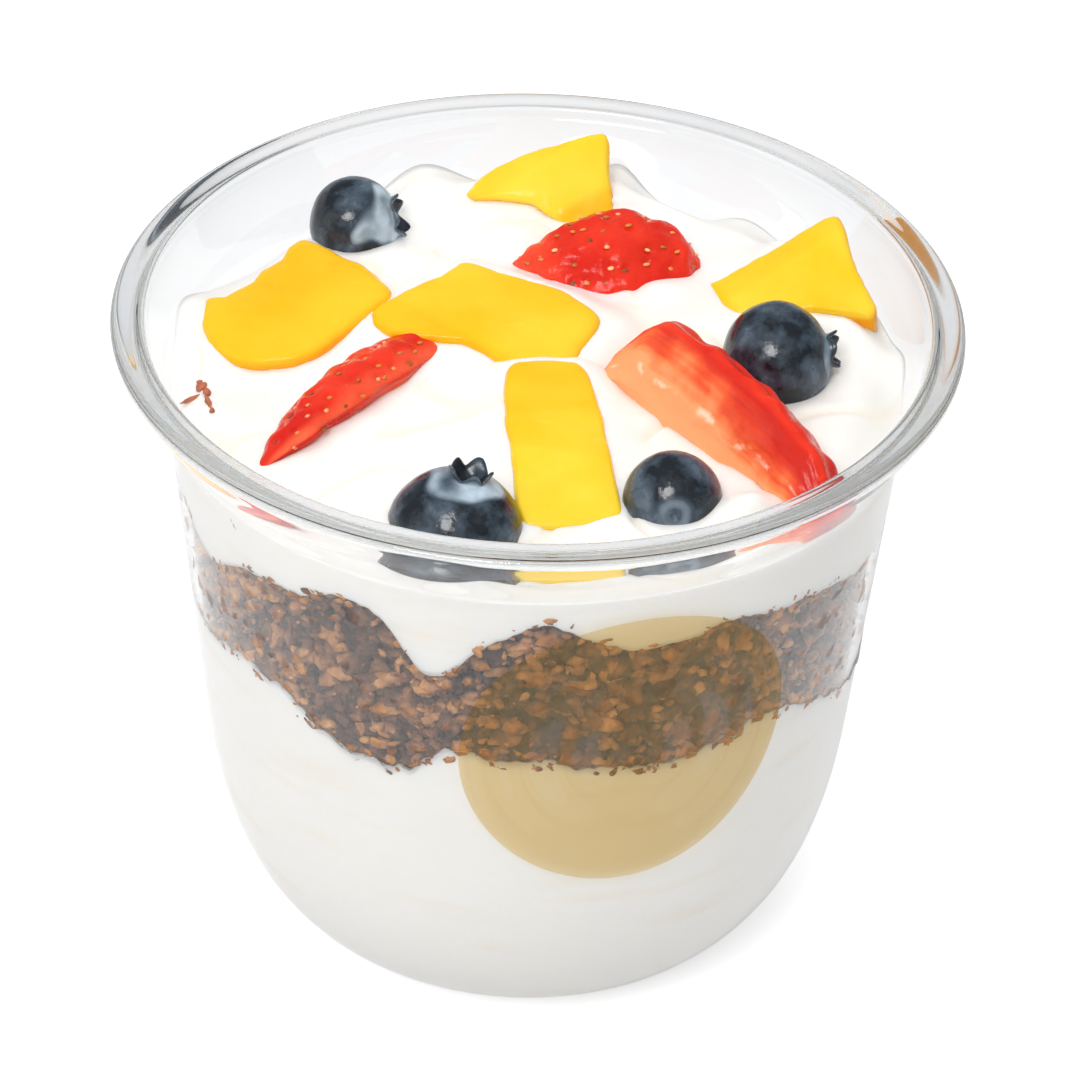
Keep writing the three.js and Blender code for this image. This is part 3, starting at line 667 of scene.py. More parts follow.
def build_label():
    """A round film bent round the wall: rings at a distance and a bearing from its middle, laid out on
    its inner face and back on its outer one."""
    shares = np.array([0.15, 0.4, 0.65, 0.85, 0.97, 1.0])
    offsets = np.repeat(LABEL_FACES, len(shares))
    reach = np.concatenate([shares, shares[::-1]])[:, None] * LABEL_RADIUS
    bearing = np.linspace(0, 2 * math.pi, 128, endpoint=False)[None, :]

    def bent(offset, reach, bearing):
        height = LABEL_HEIGHT + reach * np.sin(bearing)
        radius = WALL_FOOT_RADIUS + LEAN * (height - WALL_FOOT_HEIGHT) + offset
        return polar(radius, LABEL_AZIMUTH + np.degrees(reach * np.cos(bearing) / radius), height)

    poles = [bent(offset, np.zeros(1), np.zeros(1))[0] for offset in LABEL_FACES]
    made = closed_rings(bent(offsets[:, None], reach, bearing), *poles)
    make_piece("gold_film_disc", *made, FILM, "gold_film", ["label"], crease=40)


# ---------------------------------------------------------------------------------------------
# Layers
# ---------------------------------------------------------------------------------------------
LAYER_AROUND = 480  # points in one ring
AROUND = np.arange(LAYER_AROUND) / LAYER_AROUND * 360
BAND_RADIUS = 41.0  # of the circle on which the granola's random fields are read
WALL_FALL = (36.5, 42.6)  # over which radii the yogurt's top goes over to its edge at the wall
LOW_SIDE_HEIGHT = 30.0  # up to which the lower yogurt's rings are level


def ragged(azimuth, size, seed):
    """A ragged line round the cup: a coarse and a fine random field read along a circle."""
    circle = polar(BAND_RADIUS, azimuth, 0.0)
    return size * (field(circle, 5.0, seed) + 0.6 * field(circle, 1.6, seed + 1))


def granola_base(azimuth):
    """Height of the granola's lower edge at the wall."""
    return GRANOLA_BASE_LEVEL + wave_height(GRANOLA_BASE_WAVES, azimuth) + ragged(azimuth, 0.45, 31)


def granola_top(azimuth):
    """Height of the granola's upper edge at the wall."""
    return GRANOLA_TOP_LEVEL + wave_height(GRANOLA_TOP_WAVES, azimuth) + ragged(azimuth, 0.3, 47)


def face_rings(radii, edge, level):
    """Rings of a layer's hidden face: the edge's height at the wall fades to a level within 20 mm."""
    radii = np.array(radii, float)[:, None]
    height = level + (edge[None, :] - level) * smoothstep(radii, 18, 38)
    return polar(radii, AROUND[None, :], height)


def swell(x, y, level):
    """How far the yogurt stands up against the mango: at each chunk it reaches to a tuck below the cut
    face's edge, and falls away with exp(-(distance / 4.2)^2)."""
    rise = np.zeros(np.shape(x))
    for chunk in MANGO_CHUNKS.values():
        edge = chunk_edge(**chunk)
        away = (x[..., None] - edge[:, 0]) ** 2 + (y[..., None] - edge[:, 1]) ** 2
        nearest = away.argmin(-1)
        wanted = edge[nearest, 2] - chunk["tuck"] - level
        distance = np.take_along_axis(away, nearest[..., None], -1)[..., 0]
        rise = np.maximum(rise, np.clip(wanted, 0, chunk["climb"]) * np.exp(-distance / 4.2**2))
    return rise


def folds(x, y):
    """Creases between strokes of the spoon, 0 to 1: exp(-(f / 0.09)^2) along the zero lines of a slow
    random field f, in some places only."""
    flat = np.stack(np.broadcast_arrays(x, y), -1)
    crease = np.exp(-((field(flat, 21.0, 75) / 0.09) ** 2))
    return crease * smoothstep(field(flat, 17.0, 76), -0.1, 0.5)


def yogurt_top(x, y):
    """Height of the yogurt's top: a level with a slow ripple, spoon mounds as bell curves, the rise
    against the mango, and a fall to the line on the wall over the last 6 mm."""
    radius = np.hypot(x, y)
    azimuth = np.degrees(np.arctan2(x, -y))
    inside = YOGURT_LEVEL + 0.3 * np.sin(3 * np.radians(azimuth) + 0.7)
    for mound_x, mound_y, spread, height in YOGURT_MOUNDS:
        away = (x - mound_x) ** 2 + (y - mound_y) ** 2
        inside = inside + height * np.exp(-away / (2 * spread**2))
    flat = np.stack(np.broadcast_arrays(x, y), -1)
    inside = inside + 0.3 * field(flat, 15.0, 71) + 0.06 * field(flat, 6.0, 72) - 0.55 * folds(x, y)
    inside = inside + swell(x, y, inside)
    edge = YOGURT_EDGE_LEVEL + wave_height(YOGURT_EDGE_WAVES, azimuth)
    return inside + (edge - inside) * smoothstep(radius, *WALL_FALL)


def build_lower_yogurt():
    """Rings up the inside of the cup, just into its wall, to the granola's lower edge, then in under it."""
    base = granola_base(AROUND)
    side = INNER[INNER[:, 1] < LOW_SIDE_HEIGHT]
    low = polar(side[:, :1] + YOGURT_REACH, AROUND[None, :], side[:, 1:] - YOGURT_REACH)
    share = np.linspace(0, 1, 14)[1:, None]
    height = LOW_SIDE_HEIGHT + (base[None, :] - LOW_SIDE_HEIGHT) * share
    high = polar(inner_radius(height) + YOGURT_REACH, AROUND[None, :], height)
    over = face_rings([40.0, 37.0, 30.0, 15.0], base, GRANOLA_BASE_LEVEL)
    rings = np.concatenate([low, high, over])
    floor = FLOOR_THICKNESS - YOGURT_REACH
    made = closed_rings(rings, [0, 0, floor], [0, 0, GRANOLA_BASE_LEVEL])
    make_piece("lower_yogurt_layer", *made, YOGURT, "yogurt", ["yogurt_lower"])


def build_granola():
    """Rings over the granola's lower face, up its craggy side and in over its upper face. The side is
    pitted: its depth is the folded random field |f|, deepest where two fields are near zero together."""
    base, top = granola_base(AROUND) - 0.3, granola_top(AROUND) + 0.3
    share = np.linspace(0, 1, 56)[:, None]
    height = base[None, :] + (top - base)[None, :] * share
    flat = polar(BAND_RADIUS, AROUND[None, :], height)
    pits = 1 - np.minimum(np.abs(field(flat, 4.5, 5)) * 1.9, 1)
    crumbs = 1 - np.minimum(np.abs(field(flat, 2.0, 6)) * 1.8, 1)
    border = smoothstep(np.minimum(share, 1 - share) * (top - base)[None, :], 0.0, 1.8)
    depth = 0.2 + border * (0.9 + 1.3 * pits**2 + 0.8 * crumbs**2)
    side = polar(inner_radius(height) + GRANOLA_REACH - depth, AROUND[None, :], height)
    under = face_rings([15.0, 30.0, 37.0], base, GRANOLA_BASE_LEVEL)
    over = face_rings([37.0, 30.0, 15.0], top, GRANOLA_TOP_LEVEL)
    rings = np.concatenate([under, side, over])
    hidden = np.full(under.shape[:2], 0.2)
    # Painted shade: the side is coloured darker the deeper it lies in its pits.
    toast_and_shade = np.concatenate([hidden, 0.46 - 0.2 * depth, hidden])
    made = closed_rings(rings, [0, 0, GRANOLA_BASE_LEVEL], [0, 0, GRANOLA_TOP_LEVEL])
    values = {"toast_and_shade": with_poles(toast_and_shade, 0.2, 0.2)}
    make_piece("granola_bed", *made, GRANOLA, "granola", ["granola"], values)


# The loose bits of the granola, with a few dozen faces each: how many and their seed, the lines between which
# they lie, each with a shift, and the least and most half length, depth behind the wall and toastedness.
GRANOLA_BITS = {
    "granola_flakes": dict(
        count=1700, seed=12, low=(granola_base, 0.6), high=(granola_top, -0.6),
        sizes=(0.8, 2.5), depths=(0.1, 1.5), toasting_and_shade=(0.15, 1.15),
    ),
    "granola_crumbs": dict(
        count=1500, seed=15, low=(granola_base, -0.1), high=(granola_top, 0.1),
        sizes=(0.25, 0.9), depths=(0.0, 0.9), toasting_and_shade=(0.2, 1.35),
    ),
    "granola_lower_crumbs": dict(
        count=620, seed=13, low=(granola_base, -1.3), high=(granola_base, 0.9),
        sizes=(0.35, 1.5), depths=(-0.1, 0.35), toasting_and_shade=(0.6, 1.25),
    ),
    "granola_upper_crumbs": dict(
        count=520, seed=14, low=(granola_top, -0.8), high=(granola_top, 0.8),
        sizes=(0.3, 1.3), depths=(-0.1, 0.35), toasting_and_shade=(0.5, 1.15),
    ),
}


def build_granola_bits(name, count, seed, low, high, sizes, depths, toasting_and_shade):
    """Loose granola at the wall: lumps with each corner jittered, mostly flat to the wall and level, with
    whatever would pass the wall pressed flat just into it. Each bit has its own toastedness, and each corner
    is painted darker the deeper it lies behind the wall, as painted shade in the gaps."""
    random = np.random.default_rng(seed)
    template, quads, triangles = lump_template(8, 4)
    jitter = random.uniform(0.65, 1.25, size=(count, len(template), 1))
    shapes = template[None] * jitter
    azimuth = random.uniform(0, 360, count)
    lowest, highest = (line(azimuth) + shift for line, shift in (low, high))
    height = lowest + (highest - lowest) * random.uniform(0, 1, count)
    length = sizes[0] + (sizes[1] - sizes[0]) * random.uniform(0, 1, count) ** 1.3
    half = length[:, None] * random.uniform([1.0, 0.4, 0.3], [1.0, 0.8, 0.55], (count, 3))
    radius = inner_radius(height) - random.uniform(*depths, count) - 0.6 * half[:, 2]
    places = polar(radius, azimuth, height)
    outward = polar(1.0, azimuth, 0.0)
    normals = unit(outward + 0.45 * random.normal(size=(count, 3)))
    turns = frames(normals, random.normal(0.15, 0.6, count))
    points, quads, triangles = scatter((shapes, quads, triangles), places, turns, half)
    across = np.hypot(points[..., 0], points[..., 1])
    shrink = np.minimum(1, (inner_radius(points[..., 2]) + GRANOLA_REACH) / across)
    gap = np.clip(inner_radius(points[..., 2]) - across, 0, 2.5)
    points[..., :2] *= shrink[..., None]
    toast_and_shade = toasting_and_shade[0] + (toasting_and_shade[1] - toasting_and_shade[0]) * random.uniform(0, 1, count)
    toast_and_shade = np.repeat(toast_and_shade, len(template))
    # Painted shade: each corner is coloured darker by 0.34 for each millimetre that it lies behind the wall.
    values = {"toast_and_shade": toast_and_shade + random.uniform(-0.08, 0.08, toast_and_shade.shape) - 0.34 * gap.ravel()}
    points = points.reshape(-1, 3)
    make_piece(name, points, quads, triangles, GRANOLA, "granola", values=values)


# [x, y, half length, half width, bearing in degrees]: reddish brown bits that fell on the yogurt, and one
# that stuck to the wall.
STRAYS = [
    [-38.4, -5.0, 1.0, 0.6, 60], [-37.7, -6.2, 0.9, 0.5, 100], [-39.4, -7.2, 1.6, 0.3, 40],
    [-37.4, -8.4, 1.6, 0.32, 108], [-38.7, -4.0, 0.4, 0.35, 0], [-36.8, -10.4, 0.45, 0.3, 80],
]
WALL_STRAY = dict(azimuth=-52.25, height=68.8, half=[1.3, 0.32, 0.2], bearing=-55)


def build_strays():
    """The reddish bits by the wall on the left: jittered lumps half sunk in the yogurt, and one that lies
    between the yogurt and the wall."""
    random = np.random.default_rng(21)
    template, quads, triangles = lump_template(9, 5)
    rows = np.array(STRAYS, float)
    shapes = template[None] * random.uniform(0.7, 1.25, size=(len(rows) + 1, len(template), 1))
    height = yogurt_top(rows[:, 0], rows[:, 1]) + 0.12
    at_wall = inner_radius(WALL_STRAY["height"]) - 0.05
    places = np.concatenate([
        np.concatenate([rows[:, :2], height[:, None]], 1),
        [polar(at_wall, WALL_STRAY["azimuth"], WALL_STRAY["height"])],
    ])
    upward = np.tile([[0.0, 0.0, 1.0]], (len(rows), 1))
    normals = np.concatenate([upward, [polar(1.0, WALL_STRAY["azimuth"], 0.0)]])
    turns = frames(normals, np.radians(np.append(rows[:, 4] - 90, WALL_STRAY["bearing"])))
    sizes = np.stack([rows[:, 2], rows[:, 3], np.full(len(rows), 0.3)], -1)
    sizes = np.concatenate([sizes, [WALL_STRAY["half"]]])
    points, quads, triangles = scatter((shapes, quads, triangles), places, turns, sizes)
    make_piece("stray_crumbs", points.reshape(-1, 3), quads, triangles, STRAY, "granola")


def build_upper_yogurt():
    """Rings over the granola, up the wall to the yogurt's edge, then in over its mounded top."""
    base = granola_top(AROUND)
    edge_height = YOGURT_EDGE_LEVEL + wave_height(YOGURT_EDGE_WAVES, AROUND)
    under = face_rings([15.0, 30.0, 37.0, 40.0], base, GRANOLA_TOP_LEVEL)
    share = np.linspace(0, 1, 16)[:, None]
    height = base[None, :] + (edge_height - base)[None, :] * share
    side = polar(inner_radius(height) + YOGURT_REACH, AROUND[None, :], height)
    radii = np.concatenate([np.linspace(42.3, 34, 36), np.linspace(34, 1, 84)[1:]])[:, None]
    flat = polar(radii, AROUND[None, :], 0.0)
    top = flat.copy()
    top[..., 2] = yogurt_top(flat[..., 0], flat[..., 1])
    room = inner_radius(top[..., 2]) + YOGURT_REACH
    shrink = np.minimum(1, room / np.hypot(top[..., 0], top[..., 1]))
    top[..., :2] *= shrink[..., None]
    middle = float(yogurt_top(np.zeros(1), np.zeros(1))[0])
    rings = np.concatenate([under, side, top])
    made = closed_rings(rings, [0, 0, GRANOLA_TOP_LEVEL], [0, 0, middle])
    # Painted shade: the folds of the top are marked to be coloured cream, where shade falls in the creases.
    fold_shade = np.zeros(rings.shape[:2])
    fold_shade[-len(top):] = folds(flat[..., 0], flat[..., 1])
    values = {"fold_shade": with_poles(fold_shade, 0.0, 0.0)}
    make_piece("upper_yogurt_layer", *made, YOGURT, "yogurt", ["yogurt_upper"], values)


# ---------------------------------------------------------------------------------------------
# Mango
# ---------------------------------------------------------------------------------------------
# Each chunk: the middle of its cut face, the azimuth from +X and the degrees by which the face leans, the
# chunk's thickness, how far below the face's edge the yogurt ends and how high it may climb, how pale the
# face is, its facets as [bearing, start, slope, tone], and its outline in the face.
# A facet's tone is painted shade where it is positive and painted light where it is negative.
MANGO_CHUNKS = {
    "left": dict(
        centre=[-29.0, 9.4, 75.2], towards=200, lean=8, thickness=6.0, tuck=2.1, climb=3.6, pale=0.1,
        facets=[(245, 3.6, 0.12, -0.08)],
        outline=[[-10.7, 0.3], [-10.4, 2.0], [-8.9, 1.8], [-6.6, 3.4], [-4.9, 4.9], [-4.0, 7.2], [-1.6, 9.2],
                 [-0.7, 12.0], [1.1, 13.0], [5.5, 9.1], [8.3, 7.2], [11.2, 2.0], [11.2, -0.4], [6.3, -6.5],
                 [3.0, -9.8], [0.7, -11.0], [-2.4, -11.1], [-5.4, -10.6], [-7.8, -8.8], [-9.6, -6.0],
                 [-10.4, -3.0]],
    ),
    "centre": dict(
        centre=[-6.0, 5.6, 76.9], towards=250, lean=5, thickness=5.5, tuck=0.8, climb=3.6, pale=0.45,
        facets=[(232, 4.0, 0.10, 0.45)],
        outline=[[-13.2, -1.3], [-13.1, 1.5], [-10.4, 4.1], [-6.0, 7.7], [-3.4, 10.5], [-1.6, 10.2],
                 [2.3, 8.3], [8.9, 4.9], [12.8, 0.6], [13.0, -1.8], [11.4, -5.4], [10.0, -9.2], [6.2, -9.9],
                 [2.8, -9.6], [-0.2, -6.8], [-3.0, -4.9], [-7.6, -4.4], [-11.4, -3.5]],
    ),
    "front": dict(
        centre=[2.9, -18.1, 75.7], towards=270, lean=8, thickness=6.0, tuck=0.8, climb=3.0, pale=0.6,
        facets=[(262, 2.0, 0.05, -0.4), (100, 4.0, 0.04, 0.3)],
        outline=[[-6.3, 12.0], [-5.1, 13.7], [-1.9, 14.3], [1.6, 14.1], [3.2, 11.6], [4.6, 4.6], [5.5, -0.5],
                 [7.3, -10.6], [7.1, -12.9], [3.0, -13.8], [-3.2, -13.7], [-4.5, -11.6], [-5.2, -5.5],
                 [-5.7, 0.4], [-6.4, 4.2]],
    ),
    "back": dict(
        centre=[0.8, 35.2, 77.5], towards=255, lean=35, thickness=5.5, tuck=0.7, climb=2.0, pale=1.0,
        facets=[(300, 3.6, 0.30, 0.5), (125, 3.0, 0.15, 0.35)],
        outline=[[-10.3, -1.9], [-8.8, 0.3], [-3.5, 3.4], [0.4, 4.6], [5.9, 5.6], [6.9, 4.4], [7.0, 0.0],
                 [7.8, -5.0], [6.8, -8.6], [3.2, -8.2], [0.6, -5.4], [-2.2, -3.4], [-6.0, -2.8],
                 [-9.2, -2.6]],
    ),
    "right": dict(
        centre=[31.0, 16.6, 77.4], towards=235, lean=22, thickness=5.5, tuck=0.7, climb=3.6, pale=0.9,
        facets=[(215, 7.0, 0.15, 0.6), (125, 2.2, 0.15, 0.4)],
        outline=[[-12.6, -3.0], [-12.0, -0.9], [-6.5, 2.2], [-0.5, 5.9], [2.9, 7.7], [4.1, 7.5], [5.5, 2.4],
                 [8.4, -6.2], [7.8, -8.0], [5.4, -7.4], [1.1, -6.3], [-5.0, -5.6], [-8.8, -6.0],
                 [-11.4, -5.2]],
    ),
}


FALL_BACK = [0.0, 0.81, -0.588]  # the way a facet falls: back and down


def facet_fall(flat, middle, facets):
    """How a chunk's cut face falls away at points of its outline plane, as vectors, and how much deeper its
    colour is painted there, as painted shade where a tone is positive and painted light where it is negative.
    Past each facet's line, at a bearing and a distance from the middle, the fall is slope * distance, with
    the crease rounded over 0.3 mm."""
    fall, facet_light_and_shade = np.zeros(flat.shape[:-1]), np.zeros(flat.shape[:-1])
    for bearing, start, slope, tone in facets:
        a = math.radians(bearing)
        beyond = (flat - middle) @ np.array([math.cos(a), math.sin(a)]) - start
        fall += slope * np.logaddexp(0, beyond / 0.3) * 0.3
        # Painted light and shade: past the facet's line a positive tone deepens the colour and a negative one
        # pales it.
        facet_light_and_shade += tone * smoothstep(beyond, -0.4, 0.8)
    return fall[..., None] * unit(np.array(FALL_BACK)), facet_light_and_shade


def chunk_edge(centre, towards, lean, outline, facets, **_):
    """Points round the edge of a chunk's cut face."""
    edge = through(outline, 6, 0.3, closed=True)
    level = np.concatenate([edge, np.zeros((len(edge), 1))], 1) @ leaning_frame(towards, lean)
    return np.array(centre) + level + facet_fall(edge, edge.mean(0), facets)[0]


def leaning_frame(towards, lean):
    """Three directions of a piece: its normal leans by some degrees towards an azimuth from +X, the first
    is +X laid into its face, and the second is across them."""
    away, tilt = math.radians(towards), math.radians(lean)
    normal = np.array([math.sin(tilt) * math.cos(away), math.sin(tilt) * math.sin(away), math.cos(tilt)])
    first = unit(np.array([1.0, 0, 0]) - normal * normal[0])
    return np.stack([first, np.cross(normal, first), normal])


def build_mango(key, centre, towards, lean, thickness, pale, facets, outline, seed, **_):
    """A chunk: its outline scaled about its middle by a share that goes with the depth, from a gently
    domed cut face over a rounded edge and down the sides, with shallow knife waves all over."""
    edge = through(outline, 14, 0.3, closed=True)
    middle = edge.mean(0)
    profile = through(
        [[0.06, -0.42], [0.35, -0.36], [0.65, -0.24], [0.86, -0.04], [0.94, 0.16], [0.98, 0.52], [1.0, 1.1],
         [0.985, thickness * 0.5], [0.95, thickness - 1.2], [0.90, thickness - 0.35], [0.80, thickness],
         [0.4, thickness + 0.1], [0.06, thickness + 0.1]],
        5,
    )
    share, depth = profile[:, 0][:, None, None], profile[:, 1][:, None]
    flat = middle + (edge - middle)[None] * share
    local = np.concatenate([flat, np.broadcast_to(-depth, flat.shape[:2])[..., None]], -1)
    knife = 0.20 * field(local, 9.0, seed) + 0.08 * field(local, 3.0, seed + 1)
    out = unit(np.concatenate([flat - middle, np.full(flat.shape[:2] + (1,), 2.0)], -1))
    local = local + out * (knife * smoothstep(profile[:, 0], 0.05, 0.4)[:, None])[..., None]
    axes = leaning_frame(towards, lean)
    fall, facet_light_and_shade = facet_fall(flat, middle, facets)
    rings = np.array(centre) + local @ axes + fall
    ends = profile[0, 1], profile[-1, 1]
    poles = [np.array(centre) + np.array([*middle, -end]) @ axes for end in ends]
    made = closed_rings(rings, *poles)
    # Painted shade: the sides are marked for a deeper orange, and the facets' painted light and shade shift
    # the paleness.
    side = smoothstep(profile[:, 1], 0.3, 1.2)[:, None] + 0 * facet_light_and_shade
    values = {
        "side": with_poles(side, 0.0, 1.0),
        "pale": with_poles(np.clip(pale - facet_light_and_shade, 0, 1.4), pale, pale),
    }
    make_piece(f"mango_{key}_chunk", *made, MANGO, "mango", [f"mango_{key}"], values)


# ---------------------------------------------------------------------------------------------
# Strawberries
# ---------------------------------------------------------------------------------------------
# Each piece: its axis from the stem end to the tip, the way its skin faces, half its angle at the core,
# how far the core lies under the axis, how tall its section is for its width, and [share along the
# axis, half width]. paler is where the skin turns pale, as a share of the half angle, and below -1 it
# pales towards the stem end instead. seed_rows are the shares between which it has seeds, and wavy is the
# height of the swellings between them.
STRAWBERRY_PIECES = {
    "left": dict(
        stem=[-9.4, 8.6, 70.4], tip=[-31.2, -22.1, 73.3], facing=[-0.42, 0.2, 0.88], spread=62, sink=0.8,
        tall=1.0, paler=-1.0, seed_rows=(-0.95, 0.9), wavy=0.2,
        widths=[[0, 2.8], [0.12, 4.9], [0.28, 5.9], [0.46, 6.0], [0.66, 5.1], [0.83, 3.2], [0.95, 1.4],
                [1, 0.3]],
    ),
    "back": dict(
        stem=[-3.6, 19.9, 73.8], tip=[19.0, 21.7, 74.0], facing=[0, -0.5, 0.87], spread=90, sink=0.0,
        tall=0.62, paler=-3.0, seed_rows=(-0.85, 0.85), wavy=0.24,
        widths=[[0, 0.5], [0.1, 2.6], [0.25, 5.0], [0.42, 7.0], [0.6, 7.4], [0.8, 6.0], [0.92, 4.0],
                [1, 0.8]],
    ),
    "right": dict(
        stem=[6.44, -3.45, 72.6], tip=[29.0, -28.1, 70.6], facing=[0.634, 0.535, 0.558], spread=26, sink=0.0,
        tall=1.0, paler=-3.0, seed_rows=(-0.8, 0.1), wavy=0.42,
        widths=[[0, 0.8], [0.02, 5.2], [0.05, 7.8], [0.09, 10.2], [0.13, 12.0], [0.2, 12.3], [0.3, 12.3],
                [0.45, 12.2], [0.65, 11.6], [0.8, 10.6], [0.93, 9.6], [1, 7.5]],
    ),
}
WEDGE_ROWS = 170
SKIN_STEPS = 100
CUT_STEPS = 34
CORNER_PASSES = 26  # of averaging, which round the wedge's three corners
SEED_SPACING = 2.0  # between rows of seeds


def smoothed(values, passes):
    """Values round each closed row averaged with their neighbours, 1:2:1, some times over."""
    for _ in range(passes):
        values = (np.roll(values, 1, 1) + 2 * values + np.roll(values, -1, 1)) / 4
    return values


def berry_seeds(length, half, reach, seed_rows, random):
    """Places of the seeds on the skin, as share along the berry and turn: staggered rows, shaken, with a
    few left out."""
    found = []
    for k, at in enumerate(np.arange(1.4, length - 0.8, SEED_SPACING)):
        step = 2.6 / max(float(reach(at / length)), 1.2)
        turns = np.arange(seed_rows[0] * half + (k % 2) * step / 2, seed_rows[1] * half, step)
        found += [[at / length, turn] for turn in turns]
    found = np.array(found)
    found[:, 0] += random.uniform(-0.75, 0.75, len(found)) / length
    found[:, 1] += random.uniform(-0.6, 0.6, len(found)) / np.maximum(reach(found[:, 0]), 1.5)
    return found[random.uniform(size=len(found)) < 0.85]


def wedge_section(radius, half, tall):
    """The rows of a wedge of each radius, as heights over the core and offsets beside it: an arc of skin from
    -half to half, then a cut in to the core and one out again, each bulged by 0.10 * radius * sin(pi * t).
    Also gives each column's share of skin, depth from the skin to the core, and turn."""
    turn = np.linspace(-half, half, SKIN_STEPS)[None, :]
    inward = np.linspace(1, 0, CUT_STEPS)[None, 1:]
    bulge = 0.10 * radius * np.sin(math.pi * inward)
    cut_height = radius * tall * math.cos(half) * inward - bulge * math.sin(half)
    cut_offset = radius * math.sin(half) * inward + bulge * math.cos(half)
    height = [radius * tall * np.cos(turn), cut_height, cut_height[:, ::-1][:, 1:]]
    offset = [radius * np.sin(turn), cut_offset, -cut_offset[:, ::-1][:, 1:]]
    depth = [0 * turn, 1 - inward, (1 - inward)[:, ::-1][:, 1:]]
    skin = [1 + 0 * turn, 0 * depth[1], 0 * depth[2]]
    angle = [turn, half + 0 * depth[1], -half + 0 * depth[2]]
    return [np.concatenate(parts, 1) for parts in (height, offset, skin, depth, angle)]


def cut_relief(down, depth, surface, length, seed):
    """Height of a cut face: slow waves, fibres along the berry, and a broken ridge where the core ends,
    exp(-((depth - 0.62) / 0.045)^2) on a line that sways by 0.05."""
    fibres = field(np.stack([down * length / 5, depth * 9, 0 * down], -1), 1.0, seed + 3)
    broken = 0.55 + 0.75 * field(np.stack([down * length, 0 * down], -1), 5.0, seed + 6)
    from_ridge = depth - 0.62 - 0.05 * np.sin(down * 9)
    ridge = 0.55 * broken * np.exp(-((from_ridge / 0.045) ** 2))
    return 0.22 * field(surface, 6.0, seed + 4) + 0.10 * fibres + ridge


def build_seeds(key, places, normals, along, random):
    """The seeds of one piece: small lumps sunk in their dimples, their long side roughly along the berry."""
    count = len(places)
    level = frames(normals, np.zeros(count))
    toward_tip = np.arctan2((level[:, :, 1] * along).sum(-1), (level[:, :, 0] * along).sum(-1))
    turns = frames(normals, toward_tip + random.uniform(-0.4, 0.4, count))
    sizes = [random.uniform(0.36, 0.5, count), random.uniform(0.22, 0.3, count), np.full(count, 0.16)]
    sunk = places - normals * 0.34
    points, quads, triangles = scatter(lump_template(8, 3), sunk, turns, np.stack(sizes, -1))
    values = {"tone": np.repeat(random.uniform(0, 1, count) ** 0.8, points.shape[1])}
    points = points.reshape(-1, 3)
    make_piece(f"strawberry_{key}_seeds", points, quads, triangles, BERRY_SEED, "strawberry", values=values)


def build_strawberry(key, stem, tip, facing, spread, sink, tall, paler, seed_rows, wavy, widths, seed):
    """A wedge of the berry: rows along its axis, each an arc of skin and two cuts to the core, with its
    corners averaged round. The skin sinks by 0.45 * exp(-(distance / 0.7)^2) at each seed and swells
    between them."""
    random = np.random.default_rng(seed)
    stem, tip = np.array(stem, float), np.array(tip, float)
    length = float(np.linalg.norm(tip - stem))
    along = (tip - stem) / length
    skinward = unit(np.array(facing, float) - along * (np.array(facing) @ along))
    sideways = np.cross(along, skinward)
    half = math.radians(spread)
    table = through(widths, 12, 0.5)

    def reach(share):
        return np.interp(share, table[:, 0], table[:, 1])

    def place(share, height, offset):
        share, height, offset = np.broadcast_arrays(share, height, offset)
        axis = stem + share[..., None] * length * along
        return axis + (height - sink)[..., None] * skinward + offset[..., None] * sideways

    share = ((1 - np.cos(np.linspace(0.02, 1, WEDGE_ROWS) * math.pi)) / 2 * 0.998)[:, None]
    uneven = field(np.concatenate([share * length, share * 0], -1), 7.0, seed)[:, None]
    radius = reach(share) * (1 + 0.012 * uneven)
    height, offset, skin, depth, angle = wedge_section(radius, half, tall)
    rounded_height = smoothed(height, CORNER_PASSES)
    surface = place(share, rounded_height, smoothed(offset, CORNER_PASSES))
    middle = place(share, rounded_height.mean(1, keepdims=True), 0.0)
    out = unit(surface - middle)

    seeds = berry_seeds(length, half, reach, seed_rows, random)
    seed_radius, seed_turn = reach(seeds[:, 0]), seeds[:, 1]
    seed_at = place(seeds[:, 0], seed_radius * tall * np.cos(seed_turn), seed_radius * np.sin(seed_turn))
    away = np.linalg.norm(surface[:, :, None, :] - seed_at[None, None], axis=-1)
    dimples = 0.45 * np.exp(-((away / 0.7) ** 2)).sum(-1)
    swellings = wavy * field(surface, 3.4, seed + 2)

    down, deep, turn = np.broadcast_arrays(share, depth, angle)
    skinned = smoothed(skin, 8)
    cut = cut_relief(down, deep, surface, length, seed)
    lift = skinned * (swellings - dimples) + (1 - skinned) * cut
    rings = surface + out * (lift * smoothstep(radius, 0.3, 2.5))[..., None]
    poles = [place(at, row.mean(), 0.0) for at, row in ((share[0, 0], height[0]), (1.0, height[-1]))]
    made = closed_rings(rings, *poles)

    pale_side = 1 - smoothstep(turn / half + 0.12 * field(surface, 5.0, seed + 5), paler, paler + 0.5)
    pale_stem = 0.8 * (1 - smoothstep(down, 0.0, 0.3)) * (paler < -1)
    pale = np.maximum(pale_side * skinned, pale_stem)
    patterns = {"depth": smoothed(depth, 4) + 0 * down, "along": down, "turn": turn, "pale": pale}
    values = {name: with_poles(value, value[0, 0], value[-1, 0]) for name, value in patterns.items()}
    nodes = [f"strawberry_{key}"]
    make_piece(f"strawberry_{key}_wedge", *made, BERRY_FLESH, "strawberry", nodes, values)
    normals = unit(np.cos(seeds[:, 1:]) * skinward / tall + np.sin(seeds[:, 1:]) * sideways)
    build_seeds(key, seed_at, normals, along, random)


